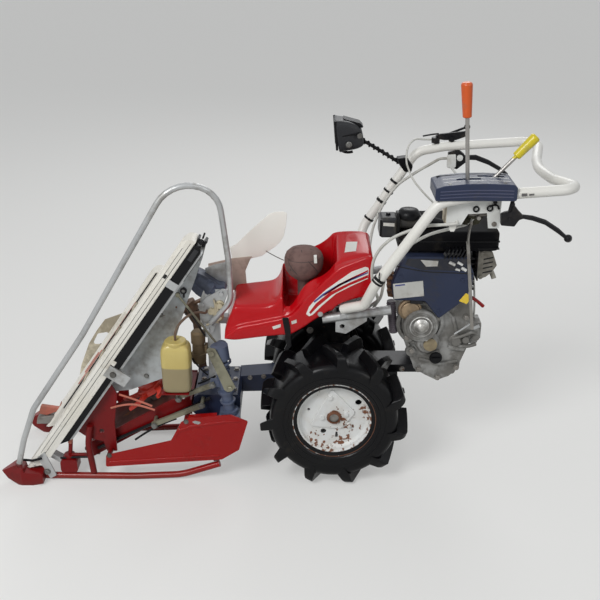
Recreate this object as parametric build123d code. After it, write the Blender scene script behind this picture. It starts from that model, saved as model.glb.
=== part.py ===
from build123d import *
import math
import os

# One-row walk-behind reaper binder, in millimetres.
# +X is forward, +Y the machine's left, +Z up; the origin is on the ground under the axle.

# Wheels and axle
tyre_r = 206.0
tyre_w = 165.0
carcass_r = 178.0
lug_count = 11
lug_w = 22.0
lug_turn = 30.0
wheel_y = 150.0
rim_flange_r = 115.5
rim_seat_r = 101.5
rim_w = 136.0
rim_wall = 3.0
disc_t = 4.0
disc_inset = 26.0
shaft_r = 13.0
hub_wall = 5.0
hub_l = 70.0
run_gap = 0.05

# Transmission
case_half_w = 52.0
case_boss_y = 62.0
case_low_r = 72.0
case_top_z = 470.0
case_top_half = 56.0
case_front_x = 78.0

# Header: crop passage and lifters
row_y = 65.0
passage_w = 160.0
lifter_w = 58.0
lifter_tip_x = 870.0
lifter_tip_z = 41.0
lifter_angle = 55.07
lifter_left_l = 854.0
lifter_right_l = 637.0
cover_depth = 28.0
case_depth = 26.0
back_depth = 6.5
sheet_t = 3.0

# Header: deck, drive and frame
deck_angle = 29.5
deck_front_x = 690.0
deck_front_z = 97.0
deck_l = 280.0
deck_t = 4.0
passage_left_y = row_y + passage_w / 2
passage_right_y = row_y - passage_w / 2
frame_out = 7.0
frame_t = 6.0
frame_left_y = passage_left_y + frame_out
frame_right_y = passage_right_y - frame_out - 2.0
skirt_y = passage_left_y + 65.0
divider_half = 21.0
skid_out = 48.0
skid_y = passage_left_y + skid_out
skid_right_y = passage_right_y - skid_out - 2.0
skid_r = 9.5
drive_top_z = 250.0
drive_low_z = 182.0
drive_left_y = passage_left_y + 3.0
drive_right_y = passage_right_y - 5.0
drive_front_x = 398.0
column_y = passage_left_y + 33.0
link_y = column_y + 6.3
tie_hole_r = 7.0
gusset_out = 27.0

# Star wheel and discharge arms, which turn square to the deck
star_x = 505.0
star_y = 70.0
star_r = 100.0
star_hub_r = 30.0
star_hub_l = 34.0
star_lift = 22.0
star_fingers = 6
spindle_r = 8.0

# Upper works
tube_r = 13.6
base_tube_r = 12.5
base_y = 146.0
base_front_x = 34.0
base_front_z = 484.0
base_rear_x = -150.0
base_rear_z = 510.0
seat = 0.3
guide_rod_r = 10.5
case_left_y = 165.0
case_right_y = 12.0
engine_left_y = 100.0
twine_wall = 4.0
ball_r = 55.0
ball_l = 168.0

# Handlebar
grip_half = 240.0
grip_z = 858.0
grip_start_x = -330.0
grip_end_x = -600.0
grip_end_z = 876.0
box_low_z = grip_z - 7
box_left_y = grip_half + 18
box_right_y = grip_half - 80
main_lever_y = grip_half - 26
speed_lever_y = grip_half - 50
panel_near_y = grip_half - 18
panel_far_y = grip_half - 74

left = 1
right = -1
sides = (("left", left), ("right", right))


def save(shape, name):
    shape.label = name
    export_step(shape, os.path.join("parts", name + ".step"))


def box(x0, x1, y0, y1, z0, z1):
    """A box between two corners."""
    middle = Location(((x0 + x1) / 2, (y0 + y1) / 2, (z0 + z1) / 2))
    return middle * Box(x1 - x0, y1 - y0, z1 - z0)


def side_plane(y):
    """The X-Z plane at a place across the machine, whose normal points left."""
    return Plane(origin=(0, y, 0), x_dir=(-1, 0, 0), z_dir=(0, 1, 0))


def side_plate(points, y0, y1, corner=0.0):
    """A flat plate from its side view, given as (x, z), between two places across the machine."""
    outline = make_face(Polyline([(-x, z) for x, z in points], close=True))
    if corner:
        outline = fillet(outline.vertices(), corner)
    return extrude(side_plane(y0) * outline, amount=y1 - y0, dir=(0, 1, 0))


def slope_plane(x, z, angle, y=0.0):
    """A plane along a slope that rises rearward: local x runs up it, local y is its forward normal."""
    rise = math.radians(angle)
    return Plane(origin=(x, y, z), x_dir=(-math.cos(rise), 0, math.sin(rise)), z_dir=(0, 1, 0))


def slope_plate(points, x, z, angle, y0, y1):
    """A prism from a side view given as (along, out) on a slope, between two places across."""
    outline = make_face(Polyline(points, close=True))
    return extrude(slope_plane(x, z, angle, y0) * outline, amount=y1 - y0, dir=(0, 1, 0))


def rod(start, end, radius):
    """A round bar between two points."""
    a = Vector(*start)
    b = Vector(*end)
    return extrude(Plane(origin=a, z_dir=(b - a).normalized()) * Circle(radius), amount=(b - a).length)


def bent_tube(points, radii, radius):
    """A round tube along straight runs joined by tangent arcs."""
    path = FilletPolyline(*[Vector(*p) for p in points], radius=radii) if len(points) > 2 \
        else Line(points[0], points[1])
    start = Plane(origin=path @ 0, z_dir=path % 0)
    return sweep(start * Circle(radius), path=path)


def turned_about_y(profile):
    """A solid turned about the Y axis through the origin from (y, radius) points."""
    outline = make_face(Polyline([(y, r) for y, r in profile], close=True))
    flat = Plane(origin=(0, 0, 0), x_dir=(0, 1, 0), z_dir=(-1, 0, 0))
    return revolve(flat * outline, axis=Axis.Y)


deck_up = Vector(math.sin(math.radians(deck_angle)), 0, math.cos(math.radians(deck_angle)))
deck_back = Vector(-math.cos(math.radians(deck_angle)), 0, math.sin(math.radians(deck_angle)))
deck_front = Vector(deck_front_x, 0, deck_front_z)


def on_deck(along, lift, y):
    """A point on the deck: so far up its slope, so far above its top face, so far left."""
    return deck_front + deck_back * along + deck_up * lift + Vector(0, y, 0)


def lifter_point(along, out, y):
    """A point on a lifter: so far up it from the tip, so far out of its front edge, so far left."""
    rise = math.radians(lifter_angle)
    x = lifter_tip_x - along * math.cos(rise) + out * math.sin(rise)
    z = lifter_tip_z + along * math.sin(rise) + out * math.cos(rise)
    return Vector(x, y, z)


# Wheels


def tyre_lug(side, envelope):
    """One tall bar from the crown to the shoulder, standing at the top of the wheel."""
    crown = carcass_r - 8
    high = tyre_r + 6
    far = tyre_w * 0.7
    outline = make_face(Polyline([(side * 1.5, crown), (side * 1.5, high), (side * far, high), (side * far, 140),
                                  (side * 86, 140), (side * 86, 152), (side * 64, crown)], close=True))
    bar = extrude(Plane(origin=(0, 0, 0), x_dir=(0, 1, 0), z_dir=(1, 0, 0)) * outline, amount=lug_w / 2, both=True)
    return (Rot(0, 0, side * lug_turn) * bar) & envelope


def tyre(side):
    """Carcass with two rows of tall bars that meet the crown in turn."""
    half = tyre_w / 2
    bead_r = rim_seat_r + seat
    bead = rim_w / 2 - rim_wall - seat
    wall = half - 3
    solid = turned_about_y([(-bead, bead_r), (bead, bead_r), (bead, bead_r + 16), (wall - 4, 134), (wall, 150),
                            (wall - 2, 164), (wall - 22, carcass_r), (22 - wall, carcass_r), (2 - wall, 164),
                            (-wall, 150), (4 - wall, 134), (-bead, bead_r + 16)])
    envelope = turned_about_y([(-half, 132), (half, 132), (half, 190), (half - 12, tyre_r), (12 - half, tyre_r),
                               (-half, 190)])
    pitch = 360 / lug_count
    for _, row in sides:
        lug = tyre_lug(row, envelope)
        for i in range(lug_count):
            solid += Rot(0, (i + row / 4) * pitch, 0) * lug
    return Location((0, side * wheel_y, axle_z)) * solid


def rim(side):
    half = rim_w / 2
    inner = rim_seat_r - rim_wall
    barrel = turned_about_y([(-half, inner), (half, inner), (half, rim_flange_r), (half - rim_wall, rim_flange_r),
                             (half - rim_wall, rim_seat_r), (rim_wall - half, rim_seat_r),
                             (rim_wall - half, rim_flange_r), (-half, rim_flange_r)])
    face = side * (half - disc_inset)
    bore = shaft_r + seat
    back = face - side * disc_t
    disc = turned_about_y([(back, bore), (face, bore), (face, inner + 0.5), (back, inner + 0.5)])
    hub = turned_about_y([(face - side * hub_l, bore), (face + side * 12, bore),
                          (face + side * 12, bore + hub_wall), (face - side * hub_l, bore + hub_wall)])
    solid = barrel + disc + hub
    outer = face + side * hub_plate_t
    plate = side_plate(hub_plate, min(face, outer), max(face, outer), 11)
    solid += plate - rod((0, back, 0), (0, outer + side, 0), bore)
    for x, z, radius in rim_holes:
        solid -= rod((x, back - side, z), (x, face + side, z), radius)
    return Location((0, side * wheel_y, axle_z)) * solid


def axle(side):
    inner = side * 16.0
    outer = side * (wheel_y + rim_w / 2 - disc_inset + 8)
    return rod((0, inner, axle_z), (0, outer, axle_z), shaft_r)


axle_z = tyre_r
hub_plate_t = 5.0
hub_plate = [(4, 84), (-56, 16), (-20, -34), (60, -28)]
rim_holes = ((70, 22, 5), (-67, 44, 9), (29, -48, 8), (-8, -62, 7))


# Transmission and the drive to the header


def case_back_x(z):
    """Where the rear of the case's neck lies at a height."""
    return -70 + (z - axle_z) * (20 - case_top_half + 70) / (case_top_z - axle_z)


def transmission_case():
    low = Location((0, 0, axle_z)) * turned_about_y(
        [(-case_half_w, 0), (case_half_w, 0), (case_half_w, case_low_r), (-case_half_w, case_low_r)])
    neck = side_plate([(-70, axle_z), (70, axle_z), (20 + case_top_half, case_top_z),
                       (20 - case_top_half, case_top_z)], -case_half_w + 8, case_half_w - 8)
    bosses = Location((0, 0, axle_z)) * turned_about_y(
        [(-case_boss_y, 0), (case_boss_y, 0), (case_boss_y, 40), (-case_boss_y, 40)])
    front = box(40, case_front_x, -40, 40, 192, 270)
    body = low + neck + bosses + front
    for _, side in sides:
        body -= rod((0, side * 14, axle_z), (0, side * (case_boss_y + 1), axle_z), shaft_r + run_gap)
    return body


def drive_housing():
    """The cast tube from the transmission to the header, and the gear housing across the header."""
    arm = side_plate([(case_front_x + seat, 200), (270, 196), (270, 246), (case_front_x + seat, 262)], -34, 34)
    cross = side_plate([(262, drive_low_z), (385, drive_low_z), (drive_front_x, drive_low_z + 14), (392, drive_top_z - 8),
                        (380, drive_top_z), (270, drive_top_z), (262, drive_top_z - 10)], drive_right_y, drive_left_y, 5)
    return arm + cross


def drive_column():
    """The upright shaft housing at the left, with its foot on the header and its knuckle on top."""
    foot = box(262, 318, drive_left_y + seat, column_y + 26, 158, 212)
    base = Vector(290, column_y, 212)
    top = Vector(313, column_y, 419)
    along = (top - base).normalized()
    flange = rod(base, base + along * 10, 25)
    lower = rod(base + along * 10, base + along * 62, 16)
    collar = rod(base + along * 62, base + along * 76, 21)
    upper = rod(base + along * 76, base + along * 168, 17)
    knuckle = rod(base + along * 168, top, 24)
    snout = rod(top - along * 24 + Vector(0, -10, 0), top - along * 24 + Vector(0, -48, 0), 17)
    ear = box(300, 340, column_y - 6, link_y - seat, 294, 316)
    return foot + flange + lower + collar + upper + knuckle + snout + ear


# Header structure


def rear_line(z, gap=0.0):
    """The (x, z) point on the line of the lifters' backs at a height."""
    rise = math.radians(lifter_angle)
    depth = cover_depth + case_depth + back_depth + gap
    return (lifter_tip_x - (z - lifter_tip_z) / math.tan(rise) - depth / math.sin(rise), z)


def lifter_gusset(y0):
    """Plate that carries one lifter by its back."""
    plate = side_plate([rear_line(150, seat), rear_line(300, seat), (600, 268), (614, 176), (614, 84), (642, 84),
                        (650, 116), (690, 126)], y0, y0 + frame_t)
    return plate - rod((652, y0 - 1, 150), (652, y0 + 7, 150), tie_hole_r)


def lifter_foot():
    """Small housing on the left skid under the tall lifter, with its stem and stay."""
    y = skid_y - 14
    low = 2 * skid_r + seat + 5
    cup = fillet(box(726, 774, y - 20, y + 20, low, 66).edges().filter_by(Axis.Y), 10)
    neck = rod((750, y, 64), (750, y, 76), 15)
    stem = rod((748, y, 72), (741, y, 128), 6)
    return cup + neck + stem + rod((750, y, 72), (687, skid_y - 4, 80), 5)


def header_frame():
    """Red structure under and beside the deck, from the drive housing to the lifters."""
    rear_x = drive_front_x + seat
    beam = [(694, 96), (452, 236), (rear_x, 236), (rear_x, 190), (452, 190), (694, 46)]
    solid = side_plate(beam, frame_left_y - frame_t, frame_left_y)
    solid += side_plate(beam, frame_right_y, frame_right_y + frame_t)
    solid += box(rear_x, rear_x + 18, frame_right_y, frame_left_y, 192, 234)
    solid += lifter_gusset(passage_left_y + gusset_out) + lifter_gusset(passage_right_y - gusset_out - 10)
    solid += rod((630, frame_left_y - frame_t, 90), (630, skirt_y - sheet_t - seat, 90), 7)
    solid += rod((630, skid_right_y - 6, 90), (630, frame_right_y + frame_t, 90), 7)
    solid += rod((409, frame_left_y - frame_t, 200), (409, skirt_y - sheet_t - seat, 200), 7)
    solid += rod((409, skid_right_y - 6, 200), (409, frame_right_y + frame_t, 200), 7)
    skid_top = 2 * skid_r + seat
    solid += bent_tube([(682, skid_y - 7, 172), (692, skid_y - 6, 110), (682, skid_y, skid_top + 3)], [120], 9)
    solid += rod((684, skid_y - 19, 160), (684, skid_y - 6, 160), 8)
    solid += rod((630, skid_right_y, 90), (630, skid_right_y, skid_top + 1), 8)
    for y in (skid_y - 3, skid_right_y - 3):
        solid += side_plate([(416, 200), (400, 204), (322, 64), (338, 61)], y, y + 6)
    solid += box(402, 418, frame_left_y - frame_t, frame_left_y, 230, shelf_z)
    solid += box(396, 470, frame_left_y - frame_t, passage_left_y + 71, shelf_z - 3, shelf_z)
    return solid + lifter_foot()


shelf_z = 290.0


def deck_plate():
    return slope_plate([(0, 0), (deck_l, 0), (deck_l, -deck_t), (0, -deck_t)], deck_front_x, deck_front_z,
                       deck_angle, frame_right_y + frame_t + seat, frame_left_y - frame_t - seat)


def skid_rail(y):
    return bent_tube([(819, y, skid_r + 3), (560, y, skid_r), (430, y, skid_r + 6), (322, y, 52)], [700, 160],
                     skid_r)


def side_skirt():
    """Pressed panel along the left of the header with its turned-in top flange."""
    outline = [(643, 52), (314, 76), (265, 108), (238, 200), (284, 221), (402, 212), (424, 196), (454, 138), (639, 90)]
    panel = side_plate(outline, skirt_y - sheet_t, skirt_y, 5)
    flange = side_plate([(324, 218), (402, 212), (402, 209), (324, 215)], skirt_y - 18, skirt_y - sheet_t)
    return panel + flange


def divider(y):
    """Pointed shoe that parts the rows: a keel, rounded nose and raised back."""
    tip_top = lifter_tip_z - seat
    side_view = [(938, 38), (896, 64), (874, 52), (872, tip_top), (820, tip_top - 3), (820, 6), (850, 0), (892, 0), (922, 16)]
    body = side_plate(side_view, y - divider_half, y + divider_half)
    nose = [(938, y - 4), (938, y + 4), (880, y + divider_half), (820, y + divider_half),
            (820, y - divider_half), (880, y - divider_half)]
    plan = extrude(make_face(Polyline(nose, close=True)), amount=120)
    return body & (Location((0, 0, -10)) * plan)


def lifter_cover(y0, y1, length):
    """White front cover of one lifter: a channel with sloped front edges and a rounded upper end."""
    side_view = make_face([Line((0, 0), (length - cover_depth, 0)),
                           ThreePointArc((length - cover_depth, 0), (length - 8, -8), (length, -cover_depth)),
                           Line((length, -cover_depth), (34, -cover_depth)), Line((34, -cover_depth), (0, 0))])
    solid = extrude(slope_plane(lifter_tip_x, lifter_tip_z, lifter_angle, y0) * side_view, amount=y1 - y0,
                    dir=(0, 1, 0))
    edge = 7.0
    rib = 15.0
    wide = y1 - y0
    section = make_face(Polyline([(0, cover_depth), (0, edge), (edge, 0), (rib, 0), (rib + 2, 2), (wide - rib - 2, 2),
                                  (wide - rib, 0), (wide - edge, 0), (wide, edge), (wide, cover_depth)], close=True))
    up = lifter_point(1, 0, 0) - lifter_point(0, 0, 0)
    return solid & extrude(Plane(origin=lifter_point(0, 0, y0), x_dir=(0, 1, 0), z_dir=up) * section, amount=length)


def lifter_case(y0, y1, length):
    """Black chain case behind the cover."""
    near = -cover_depth
    far = -cover_depth - case_depth
    return slope_plate([(110, near), (length - 12, near), (length - 6, far + 8), (length - 20, far), (150, far)],
                       lifter_tip_x, lifter_tip_z, lifter_angle, y0, y1)


def lifter_back(y0, y1, length):
    """Zinc-plated strip that carries one lifter along its back."""
    near = -cover_depth - case_depth
    return slope_plate([(150, near), (length - 24, near), (length - 24, near - back_depth),
                        (160, near - back_depth)], lifter_tip_x, lifter_tip_z, lifter_angle, y0, y1)


def lifter_tines(y_root, reach, first, count):
    """Row of folded-out fingers on one lifter's inner side, one loop of them fixed in place."""
    tines = []
    way = reach / abs(reach)
    outline = make_face([Line((0, -9), (0, 9)), ThreePointArc((0, 9), (tine_reach * 0.6, 7), (tine_reach, -5)),
                         ThreePointArc((tine_reach, -5), (tine_reach * 0.5, -10), (0, -9))])
    for i in range(count):
        start = lifter_point(first + i * tine_pitch, -cover_depth / 2, y_root)
        up = lifter_point(1, 0, 0) - lifter_point(0, 0, 0)
        plane = Plane(origin=start, x_dir=(0, way, 0), z_dir=up.cross(Vector(0, way, 0)))
        tines.append(extrude(plane * outline, amount=4, both=True))
    return Compound(children=tines)


tine_pitch = 92.0
tine_reach = 62.0


def cutter_bar():
    """Knife back with its row of pointed fingers, just under the deck's front edge."""
    low = deck_front_z - 46
    inside = frame_t + seat
    solid = box(672, 696, frame_right_y + inside, frame_left_y - inside, low, low + 10)
    finger_pitch = 37.0
    for i in range(4):
        y = row_y - 1.5 * finger_pitch + i * finger_pitch
        plan = make_face(Polyline([(695, y - 9), (720, y - 3), (720, y + 3), (695, y + 9)], close=True))
        solid += extrude(Location((0, 0, low)) * plan, amount=8)
    return solid


def crop_guide_rod():
    """Zinc tube from the left divider over the lifter and down to the knotter."""
    y = passage_left_y + lifter_w + 11
    points = [(884, y, 68), (862, y, 144), (824, y, 243), (668, y, 470), (320, 190, 1045), (283, 130, 640),
              (282, 112, 520), (340, 105.8, 450)]
    return bent_tube(points, [200, 90, 300, 88, 200, 60], guide_rod_r)


def lifter_brackets():
    outer = row_y + passage_w / 2 + lifter_w + seat
    low = side_plate([(834, 80), (812, 98), (786, 22), (804, 10)], outer, outer + 4)
    mid = slope_plate([(388, -cover_depth), (424, -cover_depth), (424, -92), (388, -92)],
                      lifter_tip_x, lifter_tip_z, lifter_angle, outer, outer + 4)
    return Compound(children=[low, mid])


def right_cover_panel():
    outline = [(770, 168), (756, 226), (727, 298), (700, 341), (672, 378), (560, 420), (520, 500), (560, 380),
               (700, 200)]
    panel = side_plate(outline, right_outer_y - sheet_t - seat, right_outer_y - seat)
    window = side_plate([(716, 296), (697, 332), (664, 338), (672, 296)], right_outer_y - 8, right_outer_y + 8, 6)
    return panel - window


right_outer_y = row_y - passage_w / 2 - lifter_w


def header_side_panel():
    """Upright sheet that closes the passage's left side behind the tall lifter."""
    inner = row_y + passage_w / 2
    outline = [rear_line(250, seat - back_depth), (600, 262), (566, 266), (475, 302), (447, 372), (424, 452), (398, 530),
               (372, 600), (350, 660), rear_line(712, seat - back_depth)]
    return side_plate(outline, inner, inner + sheet_t)


# Star wheel and discharge arms


def star_finger():
    """Outline of one hooked finger, which reaches out along local x."""
    root = star_hub_r - 6
    back = ThreePointArc((root, 12), (star_r * 0.62, 13), (star_r, -12))
    tip = Line((star_r, -12), (star_r - 9, -17))
    inside = ThreePointArc((star_r - 9, -17), (star_r * 0.62, -2), (root, -12))
    return make_face([back, tip, inside, Line((root, -12), (root, 12))])


def star_wheel():
    base = on_deck((deck_front_x - star_x) / math.cos(math.radians(deck_angle)), star_lift, star_y)
    solid = rod(base, base + deck_up * star_hub_l, star_hub_r)
    solid += rod(base + deck_up * star_hub_l, base + deck_up * (star_hub_l + 5), star_hub_r - 9)
    plane = Plane(origin=base + deck_up * 8, x_dir=deck_back, z_dir=deck_up)
    finger = star_finger()
    for i in range(star_fingers):
        solid += extrude(plane * (Rot(0, 0, i * 360 / star_fingers) * finger), amount=9)
    solid += rod(base + deck_up * 6, base + deck_up * 19, star_hub_r + 14)
    return solid - rod(base - deck_up, base + deck_up * (star_hub_l - 6), spindle_r + run_gap)


def star_spindle():
    base = on_deck((deck_front_x - star_x) / math.cos(math.radians(deck_angle)), 0.3, star_y)
    boss = rod(base, base + deck_up * (star_lift - 6), 20)
    pin = rod(base, base + deck_up * (star_lift + star_hub_l - 8), spindle_r)
    return boss + pin


# Knotter and its stand


def knotter_post():
    """Square post from the drive housing up to the knotter, with its plate."""
    post = box(318, 352, 58, 92, drive_top_z + seat, 520)
    stub = side_plate([(318, 442), (318, 462), (290.7, 462), (296.7, 442)], 62, 88)
    plate = side_plate([(367, 519), (356, 548), (306, 548), (300, 520), (340, 400), (362, 404)], 92, 95)
    return post + stub + plate


def knotter_housing():
    body = side_plate([(384, 556), (388, 584), (372, 594), (352, 584), (318, 560), (300, 556), (296, 536),
                       (312, 520 + seat), (352, 520 + seat), (366, 532)], 46, 90, 4)
    return body


def discharge_arm():
    """Outline of one swept arm, which reaches out along local x."""
    back = ThreePointArc((14, -10), (arm_reach * 0.6, -11), (arm_reach - 4, 18))
    inside = ThreePointArc((arm_reach - 12, 22), (arm_reach * 0.56, 4), (14, 10))
    return make_face([back, Line((arm_reach - 4, 18), (arm_reach - 12, 22)), inside, Line((14, 10), (14, -10))])


def discharge_arms():
    """Three-armed rotor that throws the tied sheaf out to the right."""
    hub = Location(arm_base) * Rot(0, deck_angle, 0) * Cylinder(24, 30)
    arm = Location(arm_base) * Rot(0, deck_angle, 0)
    solid = hub
    for i in range(3):
        solid += arm * (Rot(0, 0, 60 + i * 120) * extrude(discharge_arm(), amount=6))
    return solid - Location(arm_base) * Rot(0, deck_angle, 0) * Cylinder(spindle_r + run_gap, 40)


arm_base = Vector(420, -75, 420)
arm_reach = 128.0


def discharge_stand():
    """Right-hand post that carries the discharge rotor's spindle."""
    foot = box(372, 396, drive_right_y - 26, drive_right_y - seat, 200, 240)
    top = arm_base - deck_up * 22
    leg = rod((384, -38, 236), top - deck_up * 14, 12)
    head = rod(top - deck_up * 24, top, 20)
    pin = rod(top - deck_up * 2, arm_base + deck_up * 12, spindle_r)
    return foot + leg + head + pin


# Bottle, links


def oil_bottle():
    middle = passage_left_y + 39
    body = box(388, 470, middle - 32, middle + 32, shelf_z + seat, 398)
    body = fillet(body.edges().filter_by(Axis.Z), 18)
    body = fillet(body.faces().sort_by(Axis.Z)[-1].edges(), 14)
    body = fillet(body.faces().sort_by(Axis.Z)[0].edges(), 5)
    neck = rod((429, middle, 396), (429, middle, 412), 22)
    cap = fillet(rod((429, middle, 410), (429, middle, 438), 29).edges(), 3)
    return body + neck + cap


def drive_links():
    upper = side_plate([(503, 172), (508, 184), (362, 248), (357, 236)], link_y, link_y + 9)
    upper += rod((500, frame_left_y + seat, 180), (500, link_y, 180), 5)
    upper += rod((366, drive_left_y + seat, 240), (366, link_y, 240), 5)
    lower = side_plate([(432, 258), (436, 268), (330, 312), (326, 300)], link_y, link_y + 9)
    lower += rod((412, frame_left_y + seat, 271), (412, link_y, 271), 5)
    stay_y = passage_left_y + sheet_t + 4
    stay = rod((319.9, stay_y, 409.6), (420, stay_y, 557), 3) + rod((420, stay_y - 4 + seat, 557), (420, stay_y + 4, 557), 6)
    return Compound(children=[upper, lower, stay])


# Twine case and ball


def twine_case():
    """Moulded open-topped hood over the header's rear, hollow for the ball of twine."""
    tub = side_plate([(273, 520), (300, 430), (286, 424), (205, 432), (102, 458), (49, 484), (-6, 538), (-94, 552),
                      (-100, 655), (-22, 648), (0, 632), (38, 612), (88, 607), (104, 584), (104, 545), (122, 529),
                      (252, 538)], case_right_y, case_left_y, 7)
    tub = fillet(tub.faces().sort_by(Axis.Y)[-1].edges(), 6)
    tub = fillet(tub.faces().sort_by(Axis.Y)[0].edges(), 6)
    lip = side_plate([(299, 430), (286, 424), (205, 432), (102, 458), (49, 484), (-6, 538), (-92, 552), (-92, 562),
                      (0, 549), (54, 495), (106, 469), (206, 443), (294, 438)], case_left_y - 8, case_left_y + 5, 2)
    far_wall = side_plate([(252, 534), (199, 541), (145, 598), (100, 628), (39, 650), (-24, 684), (-24, 600),
                           (60, 520)], case_right_y, case_right_y + twine_wall, 5)
    crown = make_face(Polyline([(case_right_y, 560), (case_right_y, 686), (100, 684), (case_left_y, 655),
                                (case_left_y, 560)], close=True))
    crown = fillet([v for v in crown.vertices() if v.Z > 600 or v.Y > 600], 14)
    block = extrude(Plane(origin=(-100, 0, 0), x_dir=(0, 1, 0), z_dir=(1, 0, 0)) * crown, amount=96)
    block = fillet(block.faces().sort_by(Axis.X)[0].edges(), 8)
    well = side_plate([(140, 500), (146, 545), (146, 760), (8, 760), (26, 560), (26, 500)],
                      case_right_y + twine_wall, case_left_y - twine_wall)
    return tub + lip + far_wall + block - well


def twine_ball():
    middle_z = 500 + seat + ball_l / 2
    roll = Location((84, (case_left_y + case_right_y) / 2, middle_z)) * Cylinder(ball_r, ball_l)
    return fillet(roll.edges(), 14)


def upper_guide_wing():
    outline = [(292, 586), (292, 632), (272, 637), (180, 736), (136, 736), (136, 672), (164, 645), (250, 604),
               (236, 500), (262, 500)]
    sheet = side_plate(outline, -14, -11, 9)
    plate = side_plate([(300, 500), (330, 604), (262, 600), (226, 566), (232, 500)], -11, -8, 6)
    return sheet + plate + rod((246, -12, 515), (246, case_right_y - seat, 515), 6)


# Handlebar and controls


def base_z(x):
    """Height of the base tubes' axis at a place along them."""
    return base_front_z + (base_rear_z - base_front_z) * (base_front_x - x) / (base_front_x - base_rear_x)


def handle_base():
    """Zinc tubes over the transmission that carry the handlebar and the twine case."""
    solid = box(-34, 58, -30, 30, case_top_z + seat, case_top_z + 8)
    for _, side in sides:
        y = side * base_y
        solid += rod((base_front_x, y, base_front_z), (base_rear_x, y, base_rear_z), base_tube_r)
    for x in (6, -30):
        solid += rod((x, -base_y, base_z(x)), (x, base_y, base_z(x)), base_tube_r - 1.5)
    cheek = side_plate([(-2, 488), (-86, 500), (-86, 478), (-30, 440), (-2, 446)], base_y - 3, base_y + 3)
    solid += cheek - rod((-20, base_y - 4, 462), (-20, base_y + 4, 462), tie_hole_r)
    return solid + side_plate([(-12, 538.6), (-60, 546.3), (-60, 492), (-12, 486)], 70, 100)


def handle_run(radius):
    """The handlebar's bends at a radius, for the tube itself and for what is cut round it."""
    start = (-20, base_y + 7, base_z(-20) + handle_lift)
    rise = [start, (-74, 196, 546), handle_low, handle_bend, (grip_start_x, grip_half, grip_z)]
    back = [(grip_end_x, grip_half - 4, grip_end_z), (-560, 90, grip_z), (-545, 0, grip_z)]
    right_half = [(x, -y, z) for x, y, z in (rise + back[:2])]
    right_half.reverse()
    radii = [30, 70, 60, 240, 45, 60]
    return bent_tube(rise + back + right_half, radii + [240] + radii[::-1], radius)


def handlebar():
    return handle_run(tube_r)


handle_lift = 24.2
handle_low = (-98, 230, 618)
handle_bend = (-246, grip_half, 842)


def on_handle(z, side):
    """A point on the axis of the handlebar's straight rise at a height."""
    share = (z - handle_low[2]) / (handle_bend[2] - handle_low[2])
    x = handle_low[0] + share * (handle_bend[0] - handle_low[0])
    return Vector(x, side * (handle_low[1] + share * (handle_bend[1] - handle_low[1])), z)


def on_grip_z(x):
    """Height of the handlebar's axis along its upper, nearly level run."""
    return grip_z + (grip_end_z - grip_z) * (x - grip_start_x) / (grip_end_x - grip_start_x)


def control_panel():
    """Folded sheet under the lever box: a near side with its cut-out, a front flange and a far side."""
    top = box_low_z - seat
    near = [(-270, top), (-270, top - 76.7), (-308, top - 72.7), (-323, top - 44.7), (-370, top - 41.7),
            (-376, top - 81.7), (-404, top - 81.7), (-404, top)]
    far = [(-270, top), (-270, top - 76.7), (-404, top - 60.7), (-404, top)]
    solid = side_plate(near, panel_near_y - sheet_t, panel_near_y)
    solid += side_plate(far, panel_far_y, panel_far_y + sheet_t)
    return solid + box(-273, -270, panel_far_y, panel_near_y, top - 74.7, top)


def lever_box():
    """Moulded box that straddles the left handle tube, with a slot for each lever."""
    low = box_low_z
    outline = [(-234, low), (-234, low + 31), (-256, low + 38), (-308, low + 43), (-364, low + 44), (-425, low + 41),
               (-433, low + 33), (-433, low)]
    body = side_plate(outline, box_right_y, box_left_y, 5)
    body = fillet(body.faces().sort_by(Axis.Y)[-1].edges(), 2)
    under = tube_r + seat
    channel = side_plate([(-220, low - 61), (-262, low - 9), (-330, grip_z), (-450, on_grip_z(-450)),
                          (-450, low - 61)], grip_half - under, grip_half + under)
    slots = box(-350, -290, main_lever_y - 6, main_lever_y + 6, low + 11, low + 49)
    slots += box(-412, -345, speed_lever_y - 6, speed_lever_y + 6, low + 11, low + 49)
    return body - handle_run(under) - channel - slots


def lever_knob(low, high, low_r, high_r):
    """Turned grip that widens to a rounded top."""
    length = (high - low).length
    side_view = make_face([Line((0, 0), (low_r - 3, 0)), ThreePointArc((low_r - 3, 0), (low_r - 1, 1), (low_r, 4)),
                           Line((low_r, 4), (high_r, length - 7)),
                           ThreePointArc((high_r, length - 7), (high_r - 2, length - 2), (high_r - 8, length)),
                           Line((high_r - 8, length), (0, length)), Line((0, length), (0, 0))])
    flat = Plane(origin=(0, 0, 0), x_dir=(1, 0, 0), z_dir=(0, -1, 0))
    return Plane(origin=low, z_dir=(high - low).normalized()) * revolve(flat * side_view, axis=Axis.Z)


def main_shift_lever():
    y = main_lever_y
    stem = rod((-319, y, box_low_z + 11.7), (-305, y, box_low_z + 199), 5)
    return stem + lever_knob(Vector(-305, y, box_low_z + 195), Vector(-298, y, box_low_z + 279), 11, 14)


def speed_lever():
    y = speed_lever_y
    stem = rod((-364.5, y, box_low_z + 14.7), (-438, y, box_low_z + 95), 5)
    return stem + lever_knob(Vector(-436, y, box_low_z + 93), Vector(-482, y, box_low_z + 144), 11, 13)


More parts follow.
